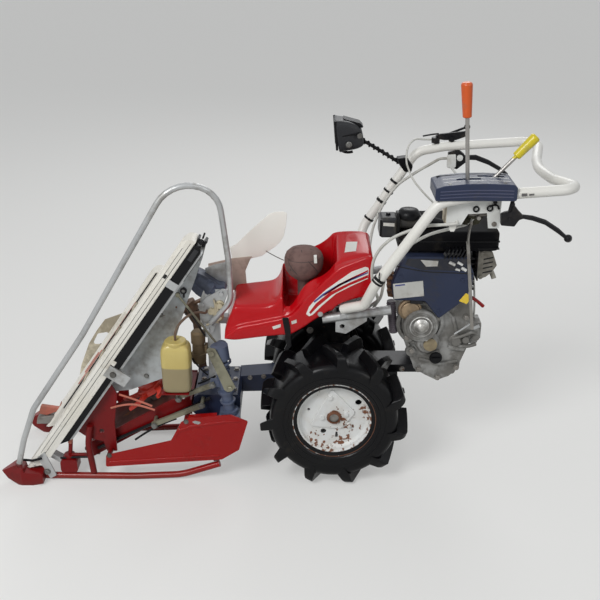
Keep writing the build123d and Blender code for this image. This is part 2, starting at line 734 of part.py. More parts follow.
def clutch_lever(side, ahead, lift):
    """Hand lever under one end of the handlebar, with its ball end, so far ahead and up of the left one."""
    y = side * (grip_half - 2)
    under = tube_r + seat
    front = ahead - 404
    rear = ahead - 446
    bracket = side_plate([(rear + 10, 784), (front, 782), (front, on_grip_z(front) - under),
                          (rear, on_grip_z(rear) - under), (rear, 812)], y - 5, y + 5)
    points = [(-425, 806), (-466, 803), (-524, 786), (-574, 750)]
    lever = bent_tube([(x + ahead, y, z + lift) for x, z in points], [50, 90], 5.5)
    ball = Pos(ahead - 577, y, 747 + lift) * Sphere(10)
    return bracket + lever + ball


lever_shift = {left: (0, 0), right: (66, 14)}


def throttle_lever():
    y = -grip_half - tube_r - 3
    mount = rod((-300, -grip_half, 868.9), (-300, -grip_half, 884), 12)
    lever = rod((-300, -grip_half, 880), (-384, y, 908), 3.5)
    ball = Pos(-392, y, 911) * Sphere(9)
    return mount + lever + ball


def work_lamp():
    """Headlamp on a bar from the right rise of the handlebar."""
    y = -grip_half
    lamp = side_plate([(-14, 862), (-8, 938), (-34, 944), (-80, 930), (-92, 880), (-60, 852)], y - 42, y + 42, 8)
    lamp = fillet(lamp.faces().sort_by(Axis.Y)[-1].edges() + lamp.faces().sort_by(Axis.Y)[0].edges(), 6)
    lamp += side_plate([(-18, 854), (-6, 854), (0, 944), (-12, 944)], y - 46, y + 46, 3)
    low = on_handle(788, right)
    high = on_handle(808, right)
    clamp = rod(low, high, tube_r + 6)
    arm = rod((-80, y, 880), (low + high) / 2 + Vector(14, 0, 8), 5)
    return lamp + arm + clamp - rod(on_handle(740, right), on_handle(830, right), tube_r + seat)


# Cables and hose, which what they lie on holds all the way


def held_cord(points, radius):
    """A cord along its route, with every bend as wide as its two runs allow."""
    spots = [Vector(*p) for p in points]
    radii = []
    for before, at, after in zip(spots, spots[1:], spots[2:]):
        half_turn = math.radians((at - before).get_angle(after - at)) / 2
        radii.append(0.45 * min((at - before).length, (after - at).length) / math.tan(half_turn))
    print("bend radii", [round(r) for r in radii])
    return bent_tube(points, radii, radius)


def control_cables():
    case_430 = case_back_x(430) - seat
    case_404 = case_back_x(404) - seat
    left_clutch = [(-297, panel_near_y + seat, 786), (-297, grip_half - 6, 786), (-262, grip_half - 12, 780), (-228, 214, 774),
                   (-184, 203, 757), (-140, 196, 735), (-110, 190, 703), (-94, 187, 669), (-91, 187, 630),
                   (-99, 185, 587), (-112, 172, 556), (-114, 140, 534), (-104, 92, 502), (-86, 50, 464),
                   (case_430 - 29.75, 30, 433.8), (case_430, 30, 430)]
    left_belt = [(-352, speed_lever_y - 4, box_low_z - seat), (-352, speed_lever_y - 4, 832),
                 (-352, speed_lever_y - 12, 796), (-340, 170, 764), (-292, 168, 749),
                 (-239, 168, 735), (-190, 164, 704), (-154, 160, 666), (-132, 154, 622), (-126, 150, 578),
                 (-124, 128, 540), (-114, 82, 496), (-96, 42, 442), (case_404 - 29.75, 20, 407.8), (case_404, 20, 404)]
    right_clutch = [(-338 + seat, 2 - grip_half, 822), (-316, 2 - grip_half, 822), (-284, -222, 808), (-256, -211, 796),
                    (-231, -208, 780), (-196, -208, 756), (-164, -207, 716), (-140, -203, 670), (-122, -196, 622),
                    (-114, -180, 580), (-112, -156, 548), (-106, -120, 522), (-94, -74, 482),
                    (case_430 - 29.75, -30, 433.8), (case_430, -30, 430)]
    throttle = [(-288 + seat, -grip_half, 878), (-266, -grip_half, 878), (-238, -228, 884), (-216, -206, 868),
                (-210, -190, 826), (-228, -154, 782), (-266, -118, 744), (-316, -112, 700), (-372, -104, 640),
                (-402, -84, 570), (-406, -40, 506), (-400, 12, 478), (-396, 40, 466), (-396, 40, 440 + seat)]
    return Compound(children=[held_cord(left_clutch, 4), held_cord(left_belt, 4), held_cord(right_clutch, 4),
                              held_cord(throttle, 2.8)])


def bottle_hose():
    y = passage_left_y + 39
    return held_cord([(429, y, 438 + seat), (429, y, 458), (420, y - 12, 478), (398, y - 34, 494), (372, y - 56, 496),
                      (350, y - 68, 486), (350, 95 + seat, 486)], 3.5)


# Engine


def engine_bed():
    """Twin channel from the transmission back under the engine."""
    deck = box(-318, -60, -44, 44, 282, 290)
    rails = box(-318, -60, -44, -38, 266, 282) + box(-318, -60, 38, 44, 266, 282)
    cheek = side_plate([(-60, 290), (-60, 380), (-100, 290)], -44, -38)
    cheek += side_plate([(-60, 290), (-60, 380), (-100, 290)], 38, 44)
    slope = side_plate([(case_back_x(240) - seat, 240), (case_back_x(400) - seat, 400), (0, 400), (0, 240)], -60, 60)
    return (deck + rails + cheek) - slope


def engine_crankcase():
    """Aluminium crankcase with its round bosses on the left and the sump below."""
    outline = [(-176, 516), (-186, 420), (-210, 352), (-232, 300), (-260, 290 + seat), (-340, 290 + seat), (-356, 330),
               (-377, 390), (-377, 516)]
    body = side_plate(outline, -70, engine_left_y, 8)
    body += side_plate([(-210, 360), (-226, 309), (-258, 288), (-293, 270), (-326, 283), (-354, 312), (-357, 360)],
                       44 + seat, engine_left_y, 6)
    main = rod((-236, engine_left_y, 452), (-236, 122, 452), 46)
    cap = rod((-236, 122, 452), (-236, 132, 452), 30)
    second = rod((-258, engine_left_y, 396), (-258, 114, 396), 34)
    plug = rod((-283, engine_left_y, 352), (-283, 118, 352), 17)
    solid = body + fillet(main.edges().sort_by(Axis.Y)[-1], 6) + cap + fillet(second.edges().sort_by(Axis.Y)[-1], 5) + plug
    for x, z in case_bolts:
        solid += rod((x, engine_left_y, z), (x, engine_left_y + 10, z), 8)
    return solid


case_bolts = ((-216, 368), (-238, 310), (-293, 284), (-344, 316), (-200, 410), (-362, 470))


def engine_cylinder():
    """Finned barrel leaning back over the crankcase."""
    solid = box(-372, -292, -36, 44, 516 + seat, 640)
    for i in range(7):
        z = 530 + i * 15
        solid += box(-386, -278, -50, 58, z, z + 5)
    return solid


def blower_housing():
    """Painted fan shroud on the engine's left face."""
    outline = [(-172, 640), (-150, 576), (-158, 530), (-243, 526), (-283, 474), (-352, 532), (-366, 570),
               (-370, 606), (-350, 655), (-186, 655)]
    face = side_plate(outline, engine_left_y + seat, 130, 7)
    face = fillet(face.faces().sort_by(Axis.Y)[-1].edges(), 6)
    return face + side_plate([(-176, 650), (-200, 520), (-360, 520), (-360, 650)], 58 + seat, engine_left_y + 4)


def fuel_tank():
    body = box(-440, -170, -96, 96, 660, 712)
    body = fillet(body.edges().filter_by(Axis.Z), 24)
    body = fillet(body.faces().sort_by(Axis.Z)[-1].edges(), 12)
    cap = fillet(rod((-250, 20, 710), (-250, 20, 726), 24).edges().sort_by(Axis.Z)[-1], 4)
    pads = box(-360, -340, -30, 40, 640 + seat, 660) + box(-320, -300, -30, 40, 640 + seat, 660)
    return body + cap + pads


def air_cleaner():
    can = fillet(box(-165, -118, 30, 90, 694, 750).edges(), 8)
    return can + rod((-160, 60, 732.3), (-228, 60, 732.3), 20)


def muffler():
    body = side_plate([(-389, 572), (-389, 652), (-404, 657), (-424, 652), (-438, 614), (-426, 594), (-410, 580)],
                      -10, 84, 6)
    port = rod((-386.3, 10, 612), (-396, 10, 612), 15)
    return body + port


def carburettor():
    body = fillet(box(-410, -377 - seat, 20, 84, 392, 440).edges().filter_by(Axis.X), 6)
    bowl = rod((-393, 52, 370), (-393, 52, 394), 16)
    return body + bowl


nodes = {
    "transmission_case": transmission_case,
    "drive_housing": drive_housing,
    "drive_column": drive_column,
    "header_frame": header_frame,
    "deck_plate": deck_plate,
    "side_skirt": side_skirt,
    "cutter_bar": cutter_bar,
    "crop_guide_rod": crop_guide_rod,
    "lifter_brackets": lifter_brackets,
    "right_cover_panel": right_cover_panel,
    "header_side_panel": header_side_panel,
    "star_wheel": star_wheel,
    "star_spindle": star_spindle,
    "knotter_post": knotter_post,
    "knotter_housing": knotter_housing,
    "discharge_arms": discharge_arms,
    "discharge_stand": discharge_stand,
    "oil_bottle": oil_bottle,
    "drive_links": drive_links,
    "control_cables": control_cables,
    "bottle_hose": bottle_hose,
    "twine_case": twine_case,
    "twine_ball": twine_ball,
    "upper_guide_wing": upper_guide_wing,
    "handle_base": handle_base,
    "handlebar": handlebar,
    "control_panel": control_panel,
    "lever_box": lever_box,
    "main_shift_lever": main_shift_lever,
    "speed_lever": speed_lever,
    "throttle_lever": throttle_lever,
    "work_lamp": work_lamp,
    "engine_bed": engine_bed,
    "engine_crankcase": engine_crankcase,
    "engine_cylinder": engine_cylinder,
    "blower_housing": blower_housing,
    "fuel_tank": fuel_tank,
    "air_cleaner": air_cleaner,
    "muffler": muffler,
    "carburettor": carburettor,
}

os.makedirs("parts", exist_ok=True)
for node, make in nodes.items():
    save(make(), node)

lifters = (("left", row_y + passage_w / 2, lifter_left_l, left), ("right", right_outer_y, lifter_right_l, right))
for name, y0, length, side in lifters:
    y1 = y0 + lifter_w
    save(lifter_cover(y0, y1, length), "lifter_cover_" + name)
    save(lifter_case(y0, y1, length), "lifter_case_" + name)
    save(lifter_back(y0 + 4, y1 - 4, length), "lifter_back_" + name)
save(lifter_tines(row_y + passage_w / 2 - 0.3, -tine_reach, 190, 7), "lifter_tines_left")
save(lifter_tines(row_y - passage_w / 2 + 0.3, tine_reach, 236, 4), "lifter_tines_right")
save(divider(passage_left_y + 60), "divider_left")
save(divider(passage_right_y - 60), "divider_right")
save(skid_rail(skid_y), "skid_rail_left")
save(skid_rail(skid_right_y), "skid_rail_right")
for name, side in sides:
    save(tyre(side), "tyre_" + name)
    save(rim(side), "rim_" + name)
    save(axle(side), "axle_" + name)
    save(clutch_lever(side, *lever_shift[side]), "clutch_lever_" + name)
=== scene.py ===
import bpy
import math
from mathutils import Matrix, Vector


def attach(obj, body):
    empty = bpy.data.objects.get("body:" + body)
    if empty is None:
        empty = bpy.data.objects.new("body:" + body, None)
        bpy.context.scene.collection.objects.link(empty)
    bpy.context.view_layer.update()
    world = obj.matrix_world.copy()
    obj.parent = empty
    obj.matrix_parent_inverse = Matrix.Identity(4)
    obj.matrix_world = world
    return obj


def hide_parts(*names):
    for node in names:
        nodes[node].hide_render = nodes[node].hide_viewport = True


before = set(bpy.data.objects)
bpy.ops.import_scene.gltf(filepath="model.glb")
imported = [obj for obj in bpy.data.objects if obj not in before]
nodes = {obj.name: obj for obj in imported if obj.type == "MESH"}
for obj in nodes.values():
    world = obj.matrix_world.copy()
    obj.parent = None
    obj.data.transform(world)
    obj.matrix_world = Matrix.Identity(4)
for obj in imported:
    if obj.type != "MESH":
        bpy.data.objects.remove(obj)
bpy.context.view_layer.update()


# Shader maths: a socket that adds Math nodes as it is used in an expression.
class Value:
    def __init__(self, finish, socket):
        self.finish = finish
        self.socket = socket

    def maths(self, operation, *others):
        sockets = {index: other for index, other in enumerate((self,) + others)}
        return self.finish.node("ShaderNodeMath", {"operation": operation}, sockets)

    def __add__(self, other):
        return self.maths("ADD", other)

    def __sub__(self, other):
        return self.maths("SUBTRACT", other)

    def __rsub__(self, other):
        return (self * -1) + other

    def __mul__(self, other):
        return self.maths("MULTIPLY", other)

    __radd__ = __add__
    __rmul__ = __mul__


class Finish:
    def __init__(self, name):
        self.material = bpy.data.materials.new(name)
        self.material.use_nodes = True
        self.tree = self.material.node_tree
        self.skin = self.tree.nodes["Principled BSDF"]
        self.place = self.node("ShaderNodeTexCoord", out="Object")

    # a socket of any node: a value, or a link from another
    def put(self, socket, value):
        if isinstance(value, Value):
            self.tree.links.new(value.socket, socket)
        else:
            socket.default_value = value

    # one maker for every node: its settings first, then its sockets' values or links
    def node(self, kind, settings=None, sockets=None, out=0):
        made = self.tree.nodes.new(kind)
        for key, value in (settings or {}).items():
            setattr(made, key, value)
        for key, value in (sockets or {}).items():
            self.put(made.inputs[key], value)
        return Value(self, made.outputs[out])

    def noise(self, scale, detail=4.0, stretch=(1, 1, 1)):
        place = self.place
        if stretch != (1, 1, 1):
            place = self.node("ShaderNodeMapping", None, {"Vector": place, "Scale": stretch})
        return self.node("ShaderNodeTexNoise", None, {"Vector": place, "Scale": scale, "Detail": detail})

    def axis(self, letter):
        return self.node("ShaderNodeSeparateXYZ", None, {"Vector": self.place}, letter)

    # 0 below low, 1 above high, and smooth between; low may be the larger
    def step(self, value, low, high):
        return self.node("ShaderNodeMapRange", {"interpolation_type": "SMOOTHSTEP"},
                         {"Value": value, "From Min": low, "From Max": high})

    def mix(self, share, first, second):
        tints = {6: first, 7: second}
        tints = {k: v if isinstance(v, Value) else tuple(v) + (1,) for k, v in tints.items()}
        return self.node("ShaderNodeMix", {"data_type": "RGBA"}, {0: share, **tints}, out=2)

    def wear(self, colour, rough, metal=0.0, coat=0.0):
        worn = {"Base Color": colour, "Roughness": rough, "Metallic": metal, "Coat Weight": coat}
        for socket, value in worn.items():
            self.put(self.skin.inputs[socket], value)

    def bump(self, height, depth):
        bumped = self.node("ShaderNodeBump", None, {"Height": height, "Distance": depth})
        self.put(self.skin.inputs["Normal"], bumped)


# Paint, plastic and castings: a body colour that has faded in patches, with dirt, runs of it, chips down to
# rust, and mud on what lies low; scales are per metre, and mudTop is the height in metres that mud reaches
surfaceDefaults = {
    "dirt": (0.16, 0.13, 0.09), "dirtScale": 9, "streak": 0, "chip": (0.20, 0.075, 0.03), "chipShare": 0,
    "mud": (0.30, 0.24, 0.17), "mudTop": 0, "metal": 0, "coat": 0, "shine": 0.5, "grain": 220,
    "grainDepth": 0.0002,
}


# the slot argument is not used; a look's slot is None where only nodes of the CAD wear it
def surface(name, slot, colour, faded, dirtShare, rough, **changes):
    look = {**surfaceDefaults, **changes}
    finish = Finish(name)
    broad = finish.noise(look["dirtScale"], 6)
    fine = finish.noise(70, 5)
    tint = finish.mix(finish.step(finish.noise(5.0, 3), 0.38, 0.66) * 0.5, colour, faded)
    dirtEdge = 0.72 - dirtShare * 0.5
    dirty = finish.step(broad * 0.7 + fine * 0.3, dirtEdge - 0.10, dirtEdge + 0.10)
    tint = finish.mix(dirty * 0.62, tint, look["dirt"])
    rough = dirty * 0.25 + rough
    metal = look["metal"]
    if look["streak"]:
        runs = finish.step(finish.noise(26, 4, (1, 1, 0.12)), 0.52, 0.72)
        tint = finish.mix(runs * look["streak"], tint, look["dirt"])
    if look["mudTop"]:
        height = finish.axis("Z") + finish.noise(14, 4) * 0.05
        low = finish.step(height, look["mudTop"] + 0.03, look["mudTop"] - 0.03)
        tint = finish.mix(low * 0.45, tint, look["mud"])
    if look["chipShare"]:
        flakes = finish.noise(38, 7) * 0.72 + finish.noise(8.36, 3) * 0.28
        edge = 0.69 - look["chipShare"] * 0.3
        chips = finish.step(flakes, edge, edge + 0.022)
        tint = finish.mix(chips, tint, finish.mix(fine, look["chip"], tuple(c * 0.35 for c in look["chip"])))
        rough = rough + chips * 0.35
        finish.bump(finish.noise(look["grain"], 3) * 0.4 - chips * 0.8, look["grainDepth"] * 2)
        if metal:
            metal = (1 - chips) * metal
    else:
        finish.bump(finish.noise(look["grain"], 3), look["grainDepth"])
    finish.wear(tint, rough, metal, look["coat"])
    finish.skin.inputs["Specular IOR Level"].default_value = look["shine"]


surface("whitePaint", "white_paint", (0.82, 0.81, 0.765), (0.76, 0.745, 0.68), 0.02, 0.34,
        dirt=(0.42, 0.38, 0.3))
# a brighter copy of the white paint for the wing: painted light
surface("wingLitWhite", "white_paint", (0.93, 0.92, 0.86), (0.88, 0.86, 0.78), 0.05, 0.4, dirt=(0.5, 0.45, 0.36),
        coat=0.1)
surface("pawlOlive", "bare_steel", (0.055, 0.05, 0.026), (0.12, 0.11, 0.065), 0.5, 0.5,
        dirt=(0.02, 0.018, 0.012), dirtScale=24, shine=0.3)
surface("coverPaint", "cream_plastic", (0.81, 0.79, 0.73), (0.72, 0.68, 0.58), 0.18, 0.36,
        dirt=(0.4, 0.34, 0.25), chipShare=0.05, streak=0.12, chip=(0.24, 0.12, 0.06))
surface("panelPaint", "zinc", (0.74, 0.75, 0.73), (0.64, 0.64, 0.61), 0.16, 0.4, dirt=(0.36, 0.32, 0.25),
        chipShare=0.06)
surface("redPaint", "red_paint", (0.32, 0.003, 0.003), (0.35, 0.008, 0.005), 0.16, 0.26,
        dirt=(0.07, 0.012, 0.008), shine=0.22, mud=(0.1, 0.05, 0.035), chipShare=0.16, chip=(0.42, 0.3, 0.22),
        mudTop=0.05, coat=0.15)
surface("darkRedPaint", None, (0.19, 0.003, 0.004), (0.12, 0.005, 0.005), 0.24, 0.34, dirt=(0.04, 0.014, 0.01),
        mud=(0.09, 0.05, 0.04), chipShare=0.12, mudTop=0.03, coat=0.05, shine=0.25)
surface("deckPaint", None, (0.1, 0.006, 0.005), (0.055, 0.012, 0.009), 0.5, 0.5, dirt=(0.035, 0.024, 0.017),
        chipShare=0.2, shine=0.3)
surface("navyPaint", "navy_paint", (0.021, 0.03, 0.066), (0.036, 0.046, 0.086), 0.2, 0.36,
        dirt=(0.045, 0.042, 0.04), chipShare=0.05, shine=0.3)
surface("shroudDark", "navy_paint", (0.016, 0.019, 0.03), (0.035, 0.038, 0.05), 0.25, 0.4,
        dirt=(0.07, 0.06, 0.05), shine=0.3)
surface("greyCast", "blue_grey_cast", (0.075, 0.095, 0.155), (0.16, 0.18, 0.25), 0.36, 0.4,
        dirt=(0.035, 0.034, 0.034), chipShare=0.12, grain=320, grainDepth=0.0006)
surface("zincPlate", "zinc", (0.5, 0.51, 0.51), (0.36, 0.37, 0.38), 0.3, 0.36, dirt=(0.2, 0.18, 0.15),
        metal=0.6)
surface("boltZinc", "bare_steel", (0.2, 0.2, 0.19), (0.12, 0.11, 0.1), 0.4, 0.4, dirt=(0.06, 0.05, 0.04),
        metal=0.5, shine=0.3)
surface("bareSteel", "bare_steel", (0.3, 0.29, 0.27), (0.18, 0.14, 0.11), 0.4, 0.42, dirt=(0.08, 0.06, 0.045),
        chipShare=0.2, metal=0.7)
surface("aluminiumCast", "aluminium", (0.34, 0.34, 0.33), (0.2, 0.195, 0.18), 0.52, 0.36,
        dirt=(0.075, 0.065, 0.05), dirtScale=16, metal=0.3, grain=340, grainDepth=0.0009)
surface("castBright", "aluminium", (0.7, 0.7, 0.68), (0.5, 0.49, 0.46), 0.3, 0.26, dirt=(0.14, 0.12, 0.09),
        metal=0.6)
surface("blackPaint", "black_paint", (0.006, 0.006, 0.008), (0.013, 0.013, 0.014), 0.22, 0.3,
        dirt=(0.06, 0.05, 0.04), chipShare=0.06, shine=0.22)
surface("tankPaint", None, (0.005, 0.005, 0.006), (0.01, 0.01, 0.011), 0.25, 0.62, dirt=(0.04, 0.034, 0.028),
        chipShare=0.05, shine=0.06)
surface("blackPlastic", "black_plastic", (0.006, 0.006, 0.007), (0.012, 0.012, 0.013), 0.08, 0.34,
        dirt=(0.05, 0.045, 0.04), grain=420, shine=0.15)
surface("greyPlastic", "black_plastic", (0.02, 0.021, 0.024), (0.045, 0.045, 0.048), 0.2, 0.45,
        dirt=(0.09, 0.08, 0.06), grain=420, shine=0.3)
surface("creamPlastic", "cream_plastic", (0.68, 0.62, 0.48), (0.58, 0.5, 0.36), 0.45, 0.5)
surface("redPlastic", "red_plastic", (0.47, 0.002, 0.006), (0.44, 0.01, 0.014), 0.03, 0.22,
        dirt=(0.25, 0.06, 0.05), coat=0.12, shine=0.25)
surface("starPlastic", "red_plastic", (0.62, 0.035, 0.016), (0.46, 0.03, 0.015), 0.25, 0.36,
        dirt=(0.1, 0.03, 0.02), coat=0.2)
surface("exhaustPaint", "exhaust", (0.25, 0.235, 0.2), (0.34, 0.31, 0.26), 0.4, 0.5, dirt=(0.07, 0.06, 0.045),
        chipShare=0.2, metal=0.3)
surface("yellowKnob", "yellow_knob", (0.8, 0.56, 0.03), (0.72, 0.5, 0.08), 0.12, 0.25, coat=0.4)
surface("tyreRubber", "tyre_rubber", (0.003, 0.003, 0.004), (0.007, 0.007, 0.007), 0.16, 0.34,
        dirt=(0.025, 0.021, 0.017), dirtScale=14, grain=300, grainDepth=0.0005, shine=0.12, coat=0.12)
surface("twineFibre", "twine", (0.13, 0.07, 0.062), (0.22, 0.14, 0.12), 0.35, 0.8, dirt=(0.03, 0.02, 0.02))
surface("sidePanelPaint", None, (0.46, 0.49, 0.5), (0.36, 0.36, 0.35), 0.36, 0.36, dirt=(0.15, 0.13, 0.105),
        chipShare=0.04, streak=0.25)
surface("salmonPaint", "dark_red_paint", (0.5, 0.13, 0.085), (0.44, 0.2, 0.15), 0.35, 0.5, chipShare=0.1)
surface("fadedRed", "red_paint", (0.62, 0.2, 0.16), (0.72, 0.45, 0.38), 0.15, 0.45)
surface("oliveZinc", "zinc", (0.26, 0.25, 0.18), (0.18, 0.17, 0.12), 0.4, 0.4, dirt=(0.06, 0.05, 0.035),
        chipShare=0.1, metal=0.5)
surface("armBrown", None, (0.12, 0.055, 0.03), (0.2, 0.11, 0.05), 0.4, 0.5, dirt=(0.03, 0.025, 0.02))
surface("hoseGrey", "rubber_hose", (0.1, 0.085, 0.1), (0.18, 0.16, 0.18), 0.3, 0.5, dirt=(0.03, 0.03, 0.03))
surface("brassPlate", "zinc", (0.52, 0.45, 0.3), (0.6, 0.56, 0.46), 0.35, 0.38, metal=0.7)
surface("bronzeCast", "bare_steel", (0.4, 0.29, 0.18), (0.3, 0.24, 0.18), 0.4, 0.45, metal=0.55)
surface("ochreDirt", "aluminium", (0.36, 0.29, 0.17), (0.3, 0.26, 0.19), 0.5, 0.7)
surface("drumBrown", "bare_steel", (0.24, 0.15, 0.055), (0.16, 0.1, 0.05), 0.45, 0.5, metal=0.3)
surface("stemPlate", "zinc", (0.5, 0.39, 0.33), (0.56, 0.47, 0.4), 0.25, 0.5)
# a lighter copy of the navy paint for the box's ribs: painted highlight
surface("boxRibHighlight", "navy_paint", (0.055, 0.062, 0.12), (0.08, 0.085, 0.14), 0.1, 0.36)
surface("twineDark", "twine", (0.06, 0.04, 0.038), (0.1, 0.07, 0.06), 0.2, 0.85)
surface("labelBlue", "navy_paint", (0.035, 0.05, 0.26), (0.08, 0.1, 0.3), 0.1, 0.4)
surface("labelDark", "black_paint", (0.07, 0.07, 0.075), (0.16, 0.16, 0.16), 0.3, 0.5)
surface("lampLens", "white_paint", (0.7, 0.72, 0.74), (0.58, 0.6, 0.62), 0.15, 0.15, coat=0.5)
surface("rustyBore", "exhaust", (0.16, 0.07, 0.035), (0.26, 0.12, 0.06), 0.5, 0.7, metal=0.2, grain=500,
        grainDepth=0.0006)
# near black, used for black parts such as the lever boot and the shroud seam, and as painted shade in slot
# floors, lifter grooves and gaps, a hole and the muffler's louvre openings
surface("blackAndGapShade", "black_plastic", (0.006, 0.006, 0.007), (0.012, 0.011, 0.01), 0.1, 0.8)
surface("cableSheath", None, (0.62, 0.62, 0.58), (0.45, 0.44, 0.4), 0.3, 0.5, dirt=(0.2, 0.18, 0.14))
surface("hoseRubber", None, (0.1, 0.045, 0.028), (0.15, 0.08, 0.05), 0.3, 0.5)
surface("blankLabel", "white_paint", (0.72, 0.72, 0.68), (0.55, 0.55, 0.52), 0.3, 0.4, dirt=(0.35, 0.3, 0.24))


# Rim paint: white, with rust that eats in from the flange, lower and rear edge most, and round the bore
def makeRimPaint():
    finish = Finish("rimPaint")
    x, z = finish.axis("X"), finish.axis("Z") - 0.206
    radius = (x * x + z * z).maths("SQRT")
    speckle = finish.noise(85, 7)
    blotch = finish.noise(22, 4)
    low = finish.step(x * -0.75 - z, -0.06, 0.09)
    rim = finish.step(radius + (speckle - 0.5) * 0.05 + low * 0.011, 0.112, 0.1185)
    patch = finish.step(speckle * 0.6 + blotch * 0.4 + low * 0.07, 0.615, 0.645)
    bore = finish.step(radius + (speckle - 0.5) * 0.012, 0.0225, 0.0195)
    rust = rim.maths("MAXIMUM", patch).maths("MAXIMUM", bore)
    paint = finish.mix(finish.step(blotch, 0.4, 0.7) * 0.6, (0.74, 0.75, 0.74), (0.62, 0.60, 0.55))
    rustTint = finish.mix(speckle, (0.05, 0.022, 0.015), (0.26, 0.10, 0.045))
    finish.wear(finish.mix(rust, paint, rustTint), rust * 0.4 + 0.35)
    finish.bump(finish.noise(240, 3) * 0.3 + rust * speckle, 0.0006)


makeRimPaint()


# Bottle: pale above the liquid's level, darker beige below it
def makeBottleLook():
    finish = Finish("bottlePlastic")
    height = finish.axis("Z") + finish.noise(9, 2) * 0.004
    filled = finish.step(height, 0.371, 0.366)
    clear = finish.mix(finish.noise(18, 4), (0.64, 0.53, 0.19), (0.50, 0.38, 0.11))
    full = finish.mix(finish.noise(12, 4), (0.34, 0.28, 0.15), (0.26, 0.21, 0.11))
    base = finish.step(height, 0.300, 0.292)
    finish.wear(finish.mix(base * 0.5, finish.mix(filled, clear, full), (0.20, 0.15, 0.08)), 0.32, 0, 0.2)
    finish.bump(finish.noise(60, 3), 0.0003)


makeBottleLook()


# Levers: a steel stem that turns into the coloured knob above a height
def makeLeverLook(name, edge, colour, worn):
    finish = Finish(name)
    knob = finish.step(finish.axis("Z"), edge - 0.0004, edge + 0.0004)
    steel = finish.mix(finish.noise(40, 5), (0.42, 0.41, 0.40), (0.26, 0.24, 0.22))
    plastic = finish.mix(finish.step(finish.noise(24, 5), 0.5, 0.66), colour, worn)
    finish.wear(finish.mix(knob, steel, plastic), 0.36, (1 - knob) * 0.75, 0.15)
    finish.bump(finish.noise(220, 3), 0.0002)


makeLeverLook("orangeLever", 1.0455, (0.64, 0.095, 0.010), (0.50, 0.11, 0.035))
makeLeverLook("yellowLever", 0.9405, (0.66, 0.54, 0.015), (0.50, 0.43, 0.08))


# Control panel: white sheet whose far side, under the box, is dark olive: painted shade under the box, with grime
def makePanelLook():
    finish = Finish("controlPanel")
    far = finish.step(finish.axis("Y"), 0.176, 0.172)
    clean = finish.mix(finish.step(finish.noise(12, 5), 0.5, 0.7) * 0.5, (0.74, 0.75, 0.73), (0.58, 0.58, 0.54))
    # painted shade under the lever box, mixed with olive grime
    shadeAndGrime = finish.mix(finish.noise(30, 6), (0.012, 0.011, 0.008), (0.075, 0.066, 0.034))
    finish.wear(finish.mix(far, clean, shadeAndGrime), 0.5)
    finish.bump(finish.noise(200, 3), 0.0002)


makePanelLook()


# Small helpers: selection, modifiers, and handing a finished piece to its body
def pick(piece):
    bpy.ops.object.select_all(action="DESELECT")
    piece.select_set(True)
    bpy.context.view_layer.objects.active = piece


# a new object from one of Blender's makers
def fresh(maker, **values):
    bpy.ops.object.select_all(action="DESELECT")
    maker(**values)
    return bpy.context.object


def meshFrom(name, points, faces):
    mesh = bpy.data.meshes.new(name)
    mesh.from_pydata([tuple(p) for p in points], [], faces)
    piece = bpy.data.objects.new(name, mesh)
    bpy.context.collection.objects.link(piece)
    pick(piece)
    return piece


def modify(piece, kind, **settings):
    pick(piece)
    modifier = piece.modifiers.new(kind, kind)
    for key, value in settings.items():
        setattr(modifier, key, value)
    bpy.ops.object.modifier_apply(modifier=modifier.name)


# steps of edit mode, with every vertex selected
def inEdit(piece, *steps):
    pick(piece)
    bpy.ops.object.mode_set(mode="EDIT")
    bpy.ops.mesh.select_mode(type="VERT")
    bpy.ops.mesh.select_all(action="SELECT")
    for step in steps:
        step()
    bpy.ops.object.mode_set(mode="OBJECT")


def turnOut(piece):
    inEdit(piece, lambda: bpy.ops.mesh.remove_doubles(threshold=0.00002),
           lambda: bpy.ops.mesh.normals_make_consistent(inside=False))


def putOn(piece, look):
    piece.data.materials.clear()
    piece.data.materials.append(bpy.data.materials[look])


def handOver(piece, look, body="chassis", instead=(), smooth=32):
    pick(piece)
    bpy.ops.object.transform_apply(location=True, rotation=True, scale=True)
    bpy.ops.object.shade_smooth_by_angle(angle=math.radians(smooth))
    modify(piece, "WEIGHTED_NORMAL", keep_sharp=True)
    putOn(piece, look)
    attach(piece, body)
    if instead:
        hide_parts(*instead)
    return piece


def joinAll(name, pieces):
    bpy.ops.object.select_all(action="DESELECT")
    for piece in pieces:
        piece.select_set(True)
    bpy.context.view_layer.objects.active = pieces[0]
    if len(pieces) > 1:
        bpy.ops.object.join()
    bpy.context.object.name = name
    return bpy.context.object


def copyOf(piece, matrix):
    twin = piece.copy()
    twin.data = piece.data.copy()
    twin.data.transform(matrix)
    bpy.context.collection.objects.link(twin)
    return twin


def drop(piece):
    bpy.data.objects.remove(piece, do_unlink=True)


def mm(*values):
    return Vector(values) * 0.001


left, right, up = (0, 1, 0), (0, -1, 0), (0, 0, 1)


# points (across, radius) in mm, turned about an axis through a place
def turned(name, profile, place, axis, steps=48):
    axis = Vector(axis).normalized()
    side = axis.orthogonal().normalized()
    place = Vector(place)
    points = [place + axis * a * 0.001 + side * r * 0.001 for a, r in profile]
    piece = meshFrom(name, points, [])
    piece.data.edges.add(len(points) - 1)
    for i, edge in enumerate(piece.data.edges):
        edge.vertices = (i, i + 1)
    inEdit(piece, lambda: bpy.ops.mesh.spin(steps=steps, angle=math.tau, center=place, axis=axis))
    turnOut(piece)
    return piece


# a plate from its side view (x, z) in mm, between two places across, with its edges eased
def plate(name, outline, y0, y1, ease=1.0, rounds=2):
    piece = meshFrom(name, [mm(x, y0, z) for x, z in outline], [list(range(len(outline)))])
    move = {"value": (0, (y1 - y0) * 0.001, 0)}
    inEdit(piece, lambda: bpy.ops.mesh.extrude_region_move(TRANSFORM_OT_translate=move))
    turnOut(piece)
    if ease:
        modify(piece, "BEVEL", width=ease * 0.001, segments=rounds, limit_method="ANGLE", angle_limit=0.6)
    return piece


